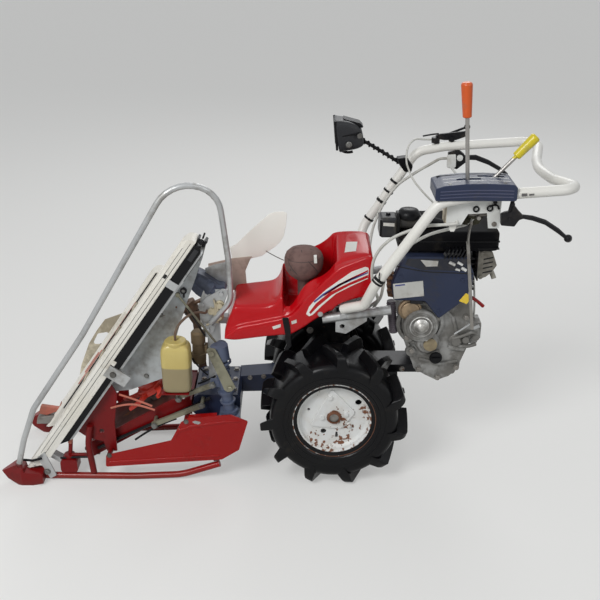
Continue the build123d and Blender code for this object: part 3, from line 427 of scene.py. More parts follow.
# a round bar, wire or hose along points in mm; smooth bends with a NURBS line, corners kept with straight runs
def bar(name, points, radius, smooth=True, sides=3):
    bpy.ops.object.select_all(action="DESELECT")
    curve = bpy.data.curves.new(name, "CURVE")
    curve.dimensions = "3D"
    line = curve.splines.new("NURBS" if smooth else "POLY")
    line.points.add(len(points) - 1)
    for spot, point in zip(line.points, points):
        spot.co = (*mm(*point), 1)
    if smooth:
        line.order_u = 3
        line.use_endpoint_u = True
        line.resolution_u = 6
    curve.bevel_depth = radius * 0.001
    curve.bevel_resolution = sides
    curve.use_fill_caps = True
    piece = bpy.data.objects.new(name, curve)
    bpy.context.collection.objects.link(piece)
    pick(piece)
    bpy.ops.object.convert(target="MESH")
    return bpy.context.object


# a skin over rows of points, closed round each row and capped at both ends
def skinOver(name, rows, levels):
    count = len(rows[0])
    faces = []
    for i in range(len(rows) - 1):
        for j in range(count):
            k = (j + 1) % count
            faces.append([i * count + j, i * count + k, (i + 1) * count + k, (i + 1) * count + j])
    faces += [list(range(count)), [(len(rows) - 1) * count + j for j in range(count)]]
    piece = meshFrom(name, [mm(*p) for row in rows for p in row], faces)
    turnOut(piece)
    modify(piece, "SUBSURF", levels=levels, render_levels=levels)
    return piece


# one row of such a skin: a box with rounded corners; corner 1 is an ellipse, less is squarer
def roundedRow(long, wide, corner, place):
    row = []
    for i in range(20):
        angle = math.tau * i / 20
        c, s = math.cos(angle), math.sin(angle)
        row.append(place(long * math.copysign(abs(c) ** corner, c), wide * math.copysign(abs(s) ** corner, s)))
    return row


# hexagon bolts with washers: (x, y, z) in mm and the way each points, one joined piece
boltSizes = {"head": 1.12, "washer": 1.32, "washerThick": 0.22, "ease": 0.10, "twist": 0.7}


def bolts(name, places, way, across, height):
    half = across / 2 * 0.001
    washer = fresh(bpy.ops.mesh.primitive_cylinder_add, vertices=18, radius=half * boltSizes["washer"],
                   depth=height * 0.001 * boltSizes["washerThick"])
    head = fresh(bpy.ops.mesh.primitive_cylinder_add, vertices=6, radius=half * boltSizes["head"],
                 depth=height * 0.001, location=(0, 0, height * 0.0005))
    bpy.ops.object.transform_apply(location=True)
    modify(head, "BEVEL", width=half * boltSizes["ease"], segments=1)
    model = joinAll("boltModel", [washer, head])
    turn = Vector(way).to_track_quat("Z", "Y").to_matrix().to_4x4()
    made = []
    for i, place in enumerate(places):
        twist = Matrix.Rotation(boltSizes["twist"] * i, 4, "Z")
        made.append(copyOf(model, Matrix.Translation(mm(*place)) @ turn @ twist))
    drop(model)
    return joinAll(name, made)


# one joined piece out of a table of small ones, each a maker and its values
def group(name, look, items, body="chassis", instead=(), smooth=32):
    made = [maker(name + str(i), *values) for i, (maker, *values) in enumerate(items)]
    handOver(joinAll(name, made), look, body, instead, smooth)


# a wire wound round a straight line, in mm
def coil(name, start, end, radius, turns, wire):
    start, end = Vector(start), Vector(end)
    along = (end - start).normalized()
    side = along.orthogonal().normalized()
    other = along.cross(side)
    steps = int(turns * 10)
    points = []
    for i in range(steps + 1):
        angle = math.tau * turns * i / steps
        spot = start.lerp(end, i / steps) + side * math.cos(angle) * radius
        points.append(spot + other * math.sin(angle) * radius)
    return bar(name, points, wire, True, 1)


# a band round a tube: the middle of the band, the tube's way, its radius, the band's width and thickness
def band(name, middle, way, radius, width, thick):
    half = width / 2
    return turned(name, [(-half, radius), (-half, radius + thick), (half, radius + thick), (half, radius)],
                  mm(*middle), way, 28)


# a raised ring or disc from its profile, in mm round a place in mm
def disc(name, profile, middle, way=left, steps=40):
    return turned(name, profile, mm(*middle), way, steps)
nodeLooks = {
    "redPaint": ["side_skirt", "skid_rail_left", "skid_rail_right"],
    "darkRedPaint": ["header_frame", "divider_left", "divider_right"],
    "armBrown": ["discharge_arms", "discharge_stand"],
    "deckPaint": ["deck_plate"],
    "redPlastic": ["twine_case"],
    "starPlastic": ["star_wheel"],
    "whitePaint": ["upper_guide_wing", "handlebar"],
    "coverPaint": ["lifter_cover_left", "lifter_cover_right"],
    "rimPaint": ["rim_left", "rim_right"],
    "cableSheath": ["control_cables"],
    "hoseRubber": ["bottle_hose"],
    "controlPanel": ["control_panel"],
    "creamPlastic": ["lifter_tines_left", "lifter_tines_right", "right_cover_panel"],
    "navyPaint": ["blower_housing", "drive_housing", "lever_box"],
    "greyCast": ["drive_column", "knotter_housing"],
    "zincPlate": ["crop_guide_rod", "lifter_back_left", "lifter_back_right", "lifter_brackets", "knotter_post",
                "handle_base"],
    "sidePanelPaint": ["header_side_panel"],
    "oliveZinc": ["drive_links"],
    "bareSteel": ["cutter_bar", "star_spindle", "axle_left", "axle_right"],
    "aluminiumCast": ["engine_crankcase", "carburettor"],
    "blackPaint": ["transmission_case", "engine_bed", "engine_cylinder", "clutch_lever_left",
                 "clutch_lever_right", "throttle_lever"],
    "blackPlastic": ["lifter_case_left", "lifter_case_right"],
    "greyPlastic": ["work_lamp", "air_cleaner"],
    "tankPaint": ["fuel_tank"],
    "exhaustPaint": ["muffler"],
    "orangeLever": ["main_shift_lever"],
    "yellowLever": ["speed_lever"],
    "tyreRubber": ["tyre_left", "tyre_right"],
    "twineFibre": ["twine_ball"],
    "bottlePlastic": ["oil_bottle"],
}
for look, names in nodeLooks.items():
    for name in names:
        putOn(nodes[name], look)
print("finishes put on", sum(len(names) for names in nodeLooks.values()), "of", len(nodes), "nodes")


# Wheels: carcass, tall bars in two rows, dished rims with a three-cornered hub plate
wheel = {
    "across": 150, "centre": 206, "bars": 11, "turn": 30,
    # one half of the carcass, from the bead to the middle of the tread; the other mirrors it
    "carcass": [(-64, 102.5), (-67, 112), (-70, 117), (-72.5, 119), (-73, 123), (-75, 126), (-78.5, 134),
                (-80.5, 148), (-80, 160), (-76, 170), (-66, 176), (-44, 178), (0, 178.5)],
    # along the bar, outer radius, root radius, half width at top and root
    "barRun": [(2, 205.2, 175, 8, 12.5), (28, 205.8, 175, 8.2, 12.5), (58, 205.8, 175, 9, 13.5),
               (80, 205.2, 174, 10.5, 16), (86, 201, 170, 12, 18), (91, 192, 164, 13, 19),
               (93.4, 176, 158, 13, 19), (93.2, 160, 149, 11, 17)],
    "barReach": 82.3,
}


def makeTyre(side, name):
    place = mm(0, side * wheel["across"], wheel["centre"])
    carcass = wheel["carcass"] + [(-along, radius) for along, radius in wheel["carcass"][-2::-1]]
    parts = [turned(name + "Carcass", carcass, place, left, 72)]
    for row in (1, -1):
        points = []
        lean = math.radians(wheel["turn"])
        for along, high, root, top, foot in wheel["barRun"]:
            for half, radius in ((-foot, root), (-top, high), (top, high), (foot, root)):
                x = half * math.cos(lean) - along * math.sin(lean)
                y = min(along * math.cos(lean) + half * math.sin(lean) * 0.6, wheel["barReach"])
                points.append(mm(x, row * y, math.sqrt(max(radius * radius - x * x, 1))))
        faces = [[0, 1, 2, 3], [4 * len(wheel["barRun"]) - k for k in (1, 2, 3, 4)]]
        for i in range(len(wheel["barRun"]) - 1):
            faces += [[4 * i + a, 4 * i + (a + 1) % 4, 4 * i + 4 + (a + 1) % 4, 4 * i + 4 + a] for a in range(4)]
        model = meshFrom(name + "Bar", points, faces)
        turnOut(model)
        modify(model, "BEVEL", width=0.0022, segments=2, limit_method="ANGLE", angle_limit=0.5)
        for i in range(wheel["bars"]):
            angle = (i + row / 4) * math.tau / wheel["bars"]
            parts.append(copyOf(model, Matrix.Translation(place) @ Matrix.Rotation(angle, 4, "Y")))
        drop(model)
    # two thin raised rings moulded on each wall
    for wall in (1, -1):
        for radius, reach in ((127, 75.6), (141, 79.6)):
            foot, top = wall * (reach - 1), wall * (reach + 0.9)
            parts.append(turned(name + "Ring", [(foot, radius - 2), (top, radius - 0.9), (top, radius + 0.9),
                                                (foot, radius + 2)], place, left, 72))
    end = name[4:].lower()
    handOver(joinAll(name, parts), "tyreRubber", "wheel_" + end, ["tyre_" + end], 40)


rimShape = {
    "skin": [(-66, 114.2), (-67, 115.2), (-66.2, 112), (-65, 104), (-62, 100.2), (-10, 98.6), (30, 98.6),
             (57, 99.6), (60.5, 101), (62.8, 105), (64.4, 112), (65.2, 114.6), (67.4, 115.2), (67.6, 113)],
    "dish": [(50, 99), (45.5, 96.5), (41, 92), (39.4, 86), (39, 70), (39, 15)],
    "plate": [(4, 84), (-3, 78), (-56, 18), (-57, 10), (-22, -36), (-14, -38), (58, -30), (63, -25), (61, -18),
              (11, 80)],
    "holes": [(70, 22, 4.2), (-67, 44, 9), (29, -48, 8), (-8, -64, 4.8), (-8, -54, 3.6), (-8, -59, 3.8)],
    "nuts": [(11, 62), (-33, 10), (33, -1), (-42, -25)],
    "hub": [(-28, 13.4), (-28, 18.3), (47, 18.3), (53, 17.6), (54, 16), (54, 13.4)],
}


def makeRim(side, name):
    place = mm(0, side * wheel["across"], wheel["centre"])
    out = Vector((0, side, 0))
    shell = turned(name + "Shell", rimShape["skin"], place, out, 72)
    modify(shell, "SOLIDIFY", thickness=0.003, offset=0)
    dish = turned(name + "Dish", rimShape["dish"], place, out, 72)
    modify(dish, "SOLIDIFY", thickness=0.004, offset=0)
    y0 = side * wheel["across"] + side * 40
    flat = [(x, z + wheel["centre"]) for x, z in rimShape["plate"]]
    hubPlate = plate(name + "Plate", flat, min(y0, y0 + side * 6), max(y0, y0 + side * 6), 1.6)
    for piece, holes in ((dish, rimShape["holes"]), (hubPlate, [(0, 0, 13.4)])):
        for x, z, radius in holes:
            drill = fresh(bpy.ops.mesh.primitive_cylinder_add, vertices=24, radius=radius * 0.001, depth=0.06,
                          location=mm(x, side * (wheel["across"] + 40), wheel["centre"] + z),
                          rotation=(math.pi / 2, 0, 0))
            modify(piece, "BOOLEAN", operation="DIFFERENCE", object=drill)
            drop(drill)
    hub = turned(name + "Hub", rimShape["hub"], place, out, 40)
    y1 = side * (wheel["across"] + 45)
    nuts = bolts(name + "Nuts", [(x, y1, wheel["centre"] + z) for x, z in rimShape["nuts"]], out, 13, 6)
    end = name[3:].lower()
    whole = joinAll(name, [shell, dish, hubPlate, hub, nuts])
    handOver(whole, "rimPaint", "wheel_" + end, ["rim_" + end], 30)


def makeAxleEnd(side, name):
    place = mm(0, side * wheel["across"], wheel["centre"])
    profile = [(46, 0.4), (48.4, 3), (49, 9), (48, 12.2), (44, 12.9), (44, 0.4)]
    cap = turned(name, profile, place, (0, side, 0), 32)
    handOver(cap, "rustyBore", "wheel_" + name[7:].lower())


for side, name in ((1, "Left"), (-1, "Right")):
    makeTyre(side, "tyre" + name)
    makeRim(side, "rim" + name)
    makeAxleEnd(side, "axleEnd" + name)
print("wheels made")


# Twine hood: rows across the machine from front to rear, each from the near lower edge over the top to the far
# side
hood = {
    # x: lower edge, outer ledge, shoulder, near top, far top (all heights)
    "front": [
        (299, 431, 438, 441, 445, 447),
        (298, 430, 440, 444, 449, 451),
        (294, 429, 444, 450, 462, 466),
        (282, 427, 452, 466, 494, 504),
        (274, 426, 458, 473, 512, 522),
        (271, 426, 460, 476, 517, 529),
        (262, 426, 468, 481, 519, 530),
        (220, 432, 475, 484, 517, 536),
        (180, 437, 484, 492, 518, 540),
        (160, 439, 488, 497, 529, 546),
        (148, 440, 491, 502, 545, 566),
    ],
    # x: lower edge, outer ledge, shoulder, sill of the well, floor of the well, far wall
    "well": [
        (139, 440, 493, 500, 520, 505, 592),
        (120, 441, 497, 505, 514, 500, 606),
        (102, 452, 517, 524, 545, 500, 622),
        (84, 463, 541, 548, 578, 500, 632),
        (62, 480, 562, 570, 596, 500, 640),
        (36, 499, 595, 600, 604, 500, 652),
        (16, 512, 613, 618, 622, 500, 668),
    ],
    # x: lower edge, outer ledge, shoulder, near top, far top
    "rear": [
        (3, 521, 628, 632, 640, 682),
        (-14, 533, 641, 644, 650, 687),
        (-50, 547, 655, 657, 661, 688),
        (-84, 553, 670, 669, 664, 687),
        (-96, 556, 668, 667, 660, 678),
        (-99, 562, 655, 656, 652, 664),
    ],
    "near": 165, "far": 12,
}


def makeHood():
    near, far = hood["near"], hood["far"]
    rows = []

    def row(x, low, ledge, shoulder, top, inner, back, sill):
        rows.append([(x, y, z) for y, z in (
            (near - 5, low), (near + 0.5, low + 3), (near, (low + ledge) / 2), (near - 0.5, ledge - 5),
            (near - 5, ledge), (near - 11, ledge + 1), (near - 14, shoulder), (sill + 5, top - 5), (sill, top),
            (sill - 5, inner[0]), (sill - 8, inner[1]), (far + 18, inner[2]), (far + 10, inner[3]),
            (far + 5, back), (far + 1, back), (far, back - 6), (far, low + 6), (far + 5, low))])

    for x, low, ledge, shoulder, top, back in hood["front"]:
        high = (top * 2 + back) / 3
        row(x, low, ledge, shoulder, top, (top + 1.5, high, back - 1, back), back, 142)
    for i, (x, low, ledge, shoulder, sill, floor, back) in enumerate(hood["well"]):
        if i == 0:
            row(x + 3, low, ledge, shoulder, 548, (549, 552, 586, 590), back, 142)
            row(x + 1, low, ledge, shoulder, 546, (544, 548, 584, 588), back, 140)
        row(x, low, ledge, shoulder, sill, (sill - 10, floor + 4, floor, floor + 6), back, 136 - min(i, 2) * 2)
    last = hood["well"][-1]
    first = hood["rear"][0]
    row(first[0] + 3, last[1], first[2] - 4, first[3] - 4, first[4] - 5, (first[4] - 12, 504, 500, 506),
        first[5] - 2, 130)
    for x, low, ledge, shoulder, top, back in hood["rear"]:
        row(x, low, ledge, shoulder, top, (top + 2, top + 5, back - 4, back - 1), back, 138)
    shell = skinOver("hoodShell", rows, 2)
    return handOver(shell, "redPlastic", instead=["twine_case"], smooth=50)


hoodPiece = makeHood()
print("hood made")


# Lifters: a spot on their slope, along it from the tip and out from the front face
rise, tipX, tipZ = math.radians(55.07), 870, 41


def slope(along, out):
    x = tipX - along * math.cos(rise) + out * math.sin(rise)
    return x, tipZ + along * math.sin(rise) + out * math.cos(rise)


def onSlope(along, y, out):
    x, z = slope(along, out)
    return x, y, z


def strip(start, end, low, high):
    return [slope(start, low), slope(end, low), slope(end, high), slope(start, high)]


lifterTrim = {
    "lip": [(70, 386, -38, -27), (426, 441, -38, -27), (44, 846, -27, -20)],
    "lines": [(60, 842, -19.4, -18.2), (70, 820, -8.6, -7.8)],
    "gapRight": (92, 630, -13, -9.5),
}
near = 203  # the left lifter's outer face
group("lifterLips", "coverPaint", [
    (plate, strip(*lifterTrim["lip"][0]), near, near + 2, 0.8),
    (plate, strip(*lifterTrim["lip"][1]), near, near + 2, 0.8),
    (plate, strip(*lifterTrim["lip"][2]), near, near + 1.4, 0.6),
    (plate, strip(70, 626, -27, -21), -15, -13.4, 0.6)])
# near-black strips on the lifters: painted shade in the grooves of the cover, in the right lifter's gap and in
# the small hole
group("lifterLines", "blackAndGapShade", [
    (plate, strip(*line), near, near + 0.5, 0) for line in lifterTrim["lines"]] + [
    (plate, strip(*lifterTrim["gapRight"]), -15, -14.3, 0),
    (plate, strip(722, 734, -17, -9), near, near + 0.6, 0.2),
    (plate, strip(742, 838, -60.6, -59.4), 199, 199.5, 0)])
group("lifterStreaks", "fadedRed", [
    (plate, strip(190, 330, -8.4, -5.4), -15, -14.6, 0),
    (plate, strip(236, 318, -4.6, -1.4), -15, -14.6, 0),
    (plate, strip(330, 520, -9.2, -8.4), -15, -14.6, 0)])
group("lifterClips", "zincPlate", [
    (plate, strip(706, 728, -55, -26), near, near + 3.2, 0.8),
    (plate, strip(60, 74, -70, -30), 160, 186, 1.2),
    (bar, [onSlope(24, 186, -14), onSlope(24, 206, -14)], 3)])
group("lifterBolts", "boltZinc", [(bolts, [onSlope(404, 207.3, -48), (810, 207.3, 34)], left, 14, 6)])
group("lifterHead", "blackPaint", [
    (plate, strip(847, 866, -54, -47), 158, 190, 1),
    (plate, strip(847, 862, -34, -28), 158, 190, 1),
    (plate, strip(850, 858, -50, -30), 184, 190, 1),
    (bolts, [onSlope(857, 190, -40)], left, 12, 7),
    (bar, [onSlope(862, 176, -40), onSlope(878, 176, -36)], 2.5)])
# a grey patch on the black lifter case: painted highlight
group("caseShine", "greyPlastic", [(plate, strip(800, 836, -47, -35), near, near + 0.7, 0.2)])
print("lifter trim made")


# Fingers, pins and rods low at the front
group("rowFingers", "salmonPaint", [
    (plate, [(818, 124), (826, 103), (880, 112), (890, 84), (865, 79), (821, 96)], -40, -24, 3),
    (bar, [(742, 189, 118), (737, 189, 138), (730, 187, 150)], 6),
    (bar, [(620, 179, 225), (580, 179, 238), (538, 179, 235), (498, 179, 218)], 3),
    (bar, [(594, 179, 268), (578, 179, 263), (530, 179, 243), (505, 179, 231)], 3)])
group("rowFingerLow", "bareSteel", [(plate, [(804, 86), (826, 52), (899, 50), (893, 75)], -44, -20, 3)])
group("frontPins", "blackPaint", [
    (bar, [(880, 196, 66), (846, 212, 74), (820, 214, 82)], 3.6, False),
    (bar, [(690, 190, 72), (742, 190, 70), (774, 190, 68)], 3.2, False),
    (bar, [(672, 160, 82), (577, 160, 132), (431, 160, 201), (345, 160, 246)], 4.5),
    (bar, [(560, 176, 120), (500, 178, 168), (440, 178, 190)], 3)])
group("frontBolts", "boltZinc", [
    (bolts, [(630, 210, 90), (409, 210, 200)], left, 11, 5),
    (bolts, [(469, 148, 496), (406, 148, 566), (520, 148, 310), (396, 148, 640)], left, 11, 5),
    (bolts, [(750, 190, 40)], left, 14, 5)])


# Star wheel's stepped dome, on the rotor
profile = [(18, 40), (20, 42), (22, 41), (24, 33), (34, 33), (36, 31), (37, 27), (39.5, 26), (41, 24), (41, 20),
           (43, 19), (44, 15), (44, 0)]
tilt = math.radians(29.5)
group("starDome", "starPlastic", [
    (disc, profile, (515.8, 70, 220.8), (math.sin(tilt), 0, math.cos(tilt)), 56)], body="star_wheel", smooth=40)


# Skirt: two pressed ribs and the worn spot
outer = 210
group("skirtRibs", "redPaint", [
    (plate, [(634, 60), (326, 84), (318, 90), (326, 92), (634, 70)], outer - 1, outer + 2.2, 1.4, 3),
    (plate, [(448, 150), (436, 172), (399, 187), (300, 203), (262, 204), (262, 198), (298, 196), (396, 179),
        (430, 165), (441, 146)], outer - 1, outer + 2.0, 1.3, 3)])
group("skirtWorn", "zincPlate", [
    (plate, [(392, 199), (384, 203), (372, 200), (368, 196), (376, 191), (386, 194)], outer, outer + 0.5, 0)])


# Knotter: plate, cast barrel, gears, drum and rods
group("knotterPlate", "zincPlate", [
    (plate, [(373, 504), (348, 527), (306, 551), (294, 549), (290, 540), (308, 488), (334, 420), (342, 415),
        (356, 413), (360, 420), (370, 464)], 95.2, 98.6, 1.2),
    (bolts, [(363, 98.6, 503), (309, 98.6, 536), (350, 98.6, 428)], left, 13, 6)])
lean = Vector((-0.80, 0, -0.60)).normalized()
group("knotterBarrel", "greyCast", [
    (disc, [(-12, 0), (-12, 12), (-6, 13), (-4, 9), (4, 10), (8, 16), (14, 19), (46, 21), (50, 24), (58, 24),
        (62, 20), (70, 18), (70, 0)], (384, 78, 580), lean, 36),
    (plate, [(397, 552), (379, 531), (352, 510), (316, 520), (310, 534), (355, 567), (387, 585)], 60, 94, 5),
    (plate, [(392, 588), (384, 600), (370, 598), (372, 586)], 64, 80, 2)], smooth=40)
group("knotterGears", "brassPlate", [
    (disc, [(0, 0), (0, 13), (4, 13), (5, 9), (12, 8), (12, 0)], (314, 98.6, 504)),
    (disc, [(0, 0), (0, 15), (5, 15), (6, 10), (14, 9), (14, 0)], (318, 98.6, 470)),
    (disc, [(0, 0), (0, 9), (9, 9), (9, 0)], (338, 98.6, 486)),
    (plate, [(322, 514), (334, 488), (328, 452), (318, 450), (316, 490)], 99, 108, 1.4),
    (bar, [(304, 106, 500), (312, 110, 478), (336, 108, 452), (352, 106, 446)], 3.4),
    (bar, [(330, 104, 522), (322, 110, 500), (326, 110, 470)], 2.6)])
group("knotterDrum", "drumBrown", [
    (disc, [(0, 0), (0, 17), (6, 20), (30, 21), (32, 18), (60, 17), (62, 20), (92, 20), (98, 15), (98, 0)],
        (377, 104, 330), up, 32),
    (plate, [(352, 360), (360, 360), (360, 384), (352, 384)], 88, 112, 1)])
group("knotterRods", "blackPaint", [
    (bar, [(423, 122, 545), (388, 121, 480), (356, 118, 419)], 2.8, False),
    (disc, [(-2.5, 5), (-2.5, 9), (2.5, 9), (2.5, 5), (-2.5, 5)], (404, 151, 568)),
    (bar, [(404, 150, 558), (404, 148, 548)], 2.5),
    (bar, [(395, 120, 350), (376, 124, 320), (352, 126, 300)], 2.2),
    (bar, [(330, 130, 300), (352, 134, 288), (380, 132, 276)], 3)])


# Upright shaft housing: bolts, rings and the link plate over it
group("columnLink", "oliveZinc", [
    (plate, [(345, 418), (338, 426), (322, 424), (316, 414), (270, 308), (276, 296), (292, 291), (300, 297)],
        203.4, 207.2, 1.2),
    (bolts, [(331, 207.2, 410), (284, 207.2, 303)], left, 14, 6)])
foot, head = Vector((290, 178, 212)), Vector((313, 178, 419))
along = (head - foot).normalized()
rings = []
for share, radius in ((0.18, 21), (0.34, 23), (0.56, 20), (0.66, 20), (0.76, 26)):
    middle = foot.lerp(head, share)
    rings.append((band, middle, along, radius - 5, 5, 5.6))
group("columnRings", "greyCast", rings)
group("columnBolts", "boltZinc", [
    (bolts, [(272, 204, 184), (306, 204, 184), (272, 204, 202), (306, 204, 202)], left, 11, 5),
    (bolts, [(500, 197, 178), (366, 197, 242), (428, 197, 262), (334, 197, 306)], left, 13, 5)])


# Bottle: blow-moulded, with soft corners, a waist low down and a wide low cap
bottle = {
    "middle": (429, 184), "corner": 0.42,
    # height, half length, half width
    "rows": [(290.4, 30, 22), (291, 36, 28), (296, 39, 31), (312, 40, 32), (370, 40.5, 32), (372, 41, 32),
             (408, 41, 32), (420, 39, 30), (428, 33, 27), (431, 26, 25), (433, 24, 24)],
    "capRibs": 28, "capRadius": 28.6,
}
x, y = bottle["middle"]
rows = [roundedRow(long, wide, bottle["corner"], lambda a, b: (x + a, y + b, z))
        for z, long, wide in bottle["rows"]]
handOver(skinOver("bottleBody", rows, 1), "bottlePlastic", instead=["oil_bottle"], smooth=60)
ribs = []
for i in range(bottle["capRibs"]):
    angle, out = i * math.tau / bottle["capRibs"], bottle["capRadius"]
    foot = (x + out * math.cos(angle), y + out * math.sin(angle))
    ribs.append((bar, [(*foot, 430), (*foot, 437)], 1.1, False, 1))
ribs.append((disc, [(0, 0), (0, 28), (1, 29), (9, 29), (11, 27), (11, 12), (9, 10), (9, 0)], (x, y, 428), up))
group("bottleCap", "bottlePlastic", ribs)


# Guide rod: the zinc tube over the lifter, at the photo's thinner gauge, with the CAD's bends; each corner in mm
# with its bend radius
guideRod = [(884, 214, 68, 0), (862, 214, 144, 200), (824, 214, 243, 90), (668, 214, 470, 300),
            (320, 190, 1045, 88), (283, 130, 640, 200), (282, 112, 520, 60), (340, 105.8, 450, 0)]
spots = [Vector(corner[:3]) for corner in guideRod]
path = [spots[0]]
for i in range(1, len(spots) - 1):
    before = (spots[i - 1] - spots[i]).normalized()
    after = (spots[i + 1] - spots[i]).normalized()
    half, radius = before.angle(after) / 2, guideRod[i][3]
    middle = spots[i] + (before + after).normalized() * radius / math.sin(half)
    start = (spots[i] + before * radius / math.tan(half) - middle).normalized()
    end = (spots[i] + after * radius / math.tan(half) - middle).normalized()
    path += [middle + start.slerp(end, k / 12).normalized() * radius for k in range(13)]
path.append(spots[-1])
group("guideRod", "zincPlate", [(bar, path, 8.2, False, 5)], instead=["crop_guide_rod"], smooth=50)


# Guide wing at the right: white sheet, its pinkish stem and the rod that holds it
# the sheet wears the brighter copy of the white paint, which is painted light
group("wingSheet", "wingLitWhite", [
    (plate, [(130, 730), (132, 700), (139, 663), (150, 645), (164, 631), (201, 604), (240, 594), (274, 586),
        (285, 598), (290, 631), (273, 639), (236, 676), (199, 710), (180, 727), (163, 734), (140, 735)], -14,
        -11, 1.2)], instead=["upper_guide_wing"])
group("wingStem", "stemPlate", [
    (plate, [(352, 582), (285, 598), (229, 604), (236, 590), (248, 560), (244, 500), (262, 500), (300, 502),
        (304, 540), (352, 560)], -11, -8, 1),
    (bar, [(246, -12, 515), (246, 12, 515)], 6, False)])
group("wingPlateLow", "zincPlate", [
    (plate, [(354, 596), (330, 606), (296, 614), (293, 549), (309, 549), (352, 570)], 58, 61, 0.8)])
print("front trim made")


# Ball of twine: wound barrel, crossing strands, its tag and the strand that leaves it
ball = {"middle": (84, 88.5), "low": 500.6}
x, y = ball["middle"]
group("twineBarrel", "twineFibre", [
    (disc, [(0, 0), (0, 16), (74, 17), (82, 28), (92, 40), (106, 49), (122, 52.6), (138, 52.2), (152, 47.5),
        (161, 38), (166, 24), (167.4, 10), (167.4, 0)], (x, y, ball["low"]), up,
        56)], instead=["twine_ball"], smooth=60)
strands = [(coil, (x, y, 616), (x, y, 646), 52.4, 3, 1.1), (coil, (x, y, 648), (x, y, 620), 52.6, 2.5, 1.1)]
for turn in range(5):
    angle = turn * math.tau / 5
    arc = []
    for k in range(15):
        lift = math.pi * (0.10 + 0.78 * k / 14)
        out = 53.2 * math.sin(lift) ** 0.8
        arc.append((x + out * math.cos(angle + k * 0.12), y + out * math.sin(angle + k * 0.12),
                    627 + 41.5 * math.cos(lift)))
    strands.append((bar, arc, 1.7, True, 1))
strands.append((bar, [(138, 92, 632), (160, 60, 629), (189, -10, 619)], 1.2))
group("twineStrands", "twineDark", strands)
group("twineTag", "blankLabel", [(plate, [(58, 658), (50, 658), (49, 640), (57, 640)], 118, 134.6, 0.2)])


# Strap, bolts and marks on the hood; the marks are bare colour with nothing on them
def makeHoodTrim(hoodShell):
    group("hoodStrap", "blackPlastic", [
        (plate, [(142, 496), (126, 496), (121, 470), (119, 440), (133, 440), (138, 470)], 163, 168.6, 1.4),
        (plate, [(136, 442), (121, 442), (117, 410), (128, 396), (138, 398), (131, 414)], 158, 164, 1.4)])
    group("hoodStripe", "whitePaint", [
        (plate, [(78, 507), (70, 528), (52, 551), (26, 577), (-11, 606), (-42, 629), (-76, 642), (-84, 640),
            (-86, 634), (-84, 609), (-43, 589), (-1, 566), (36, 531), (60, 505), (70, 500)], 163.4, 166.2,
            0.2)])
    group("hoodStripeRed", "redPlastic", [
        (plate, [(66, 507), (46, 530), (10, 563), (-36, 590), (-84, 612), (-84, 620), (-36, 598), (16, 570),
            (52, 538), (70, 512)], 166.2, 166.7, 0),
        (plate, [(34, 562), (-8, 594), (-40, 612), (-84, 634), (-84, 630), (-40, 606), (-10, 588), (30, 560)],
            166.2, 166.6, 0)])
    group("hoodStripeBlue", "labelBlue", [
        (plate, [(56, 540), (30, 562), (-8, 588), (-40, 604), (-84, 625), (-84, 628), (-38, 610), (-6, 593),
            (34, 566), (58, 544)], 166.2, 166.6, 0)])
    group("hoodMark", "blankLabel", [
        (plate, [(169, 469), (146, 477), (146, 468), (166, 461)], 164.4, 166, 0.2),
        (plate, [(118, 485), (104, 490), (103, 481), (116, 476)], 164.4, 166, 0.2)])
    group("hoodBolts", "zincPlate", [
        (disc, [(0, 0), (0, 6.5), (1.6, 6.5), (3.4, 3.5), (3.6, 0)], (206, 92, 519), up),
        (bolts, [(-90, 165, 556), (40, 165, 506)], left, 11, 4)])
    label = fresh(bpy.ops.mesh.primitive_grid_add, x_subdivisions=8, y_subdivisions=8, size=1,
                  location=(-0.042, 0.092, 0.72))
    label.name = "hoodLabel"
    label.scale = (0.030, 0.046, 1)
    label.rotation_euler = (0, 0, math.radians(-8))
    bpy.ops.object.transform_apply(location=True, rotation=True, scale=True)
    modify(label, "SHRINKWRAP", target=hoodShell, wrap_method="PROJECT", use_project_z=True,
           use_negative_direction=True, offset=0.0008)
    modify(label, "SOLIDIFY", thickness=0.0007)
    handOver(label, "blankLabel")


makeHoodTrim(hoodPiece)
print("twine and hood trim made")


# Engine, left face: shroud's seam, upper half and marks, fins, crankcase rings, plug, bolts, breather hose
group("shroudSeam", "blackAndGapShade", [
    (bar, [(-160, 129.6, 631), (-225, 129.8, 614), (-304, 129.8, 611), (-368, 129.6, 608)], 1.5),
    (plate, [(-238, 528), (-206, 528), (-204, 519), (-238, 517)], 100, 126, 1)])
group("shroudUpper", "shroudDark", [
    (plate, [(-190, 651), (-184, 634), (-228, 620), (-304, 617), (-352, 616), (-347, 651)], 129, 130.6, 0.3)])
group("shroudMarks", "blankLabel", [
    (plate, [(-154, 579), (-234, 588), (-239, 544), (-159, 535)], 130, 130.7, 0.1),
    (plate, [(-224, 648), (-272, 645), (-270, 630), (-240, 629)], 130, 131.2, 0.1)])
group("shroudMarkBlue", "labelBlue", [
    (plate, [(-160, 576), (-186, 579), (-187, 575), (-160, 572)], 130.7, 130.9, 0)])
group("stickerYellow", "yellowKnob", [
    (plate, [(-334, 529), (-351, 552), (-368, 544), (-356, 520)], 129.6, 131, 0.2)])
group("rustyFins", "rustyBore", [
    (plate, [(-136 - i * 1.5, 612 - i * 17), (-157, 608 - i * 17), (-158, 599 - i * 17),
        (-138 - i * 1.5, 602 - i * 17)], 84, 112, 1)
    for i in range(5)])
group("tagRed", "redPaint", [(bar, [(-376, 92, 522), (-392, 90, 512), (-410, 88, 494)], 5, True, 2)])
group("shroudBits", "castBright", [
    (bar, [(-300, 131, 642), (-316, 132, 634)], 4.5, False),
    (bar, [(-322, 131, 642), (-336, 132, 634)], 4, False),
    (bar, [(-318, 131, 622), (-330, 132, 619)], 3.6, False),
    (bar, [(-334, 131, 626), (-347, 132, 618)], 4.6, False)])
group("coolingFins", "blackPaint", [
    (plate, [(-286 - i * 10, 652), (-290 - i * 10, 652), (-302 - i * 10, 676), (-298 - i * 10, 676)], 106, 132,
        0.4)
    for i in range(6)])
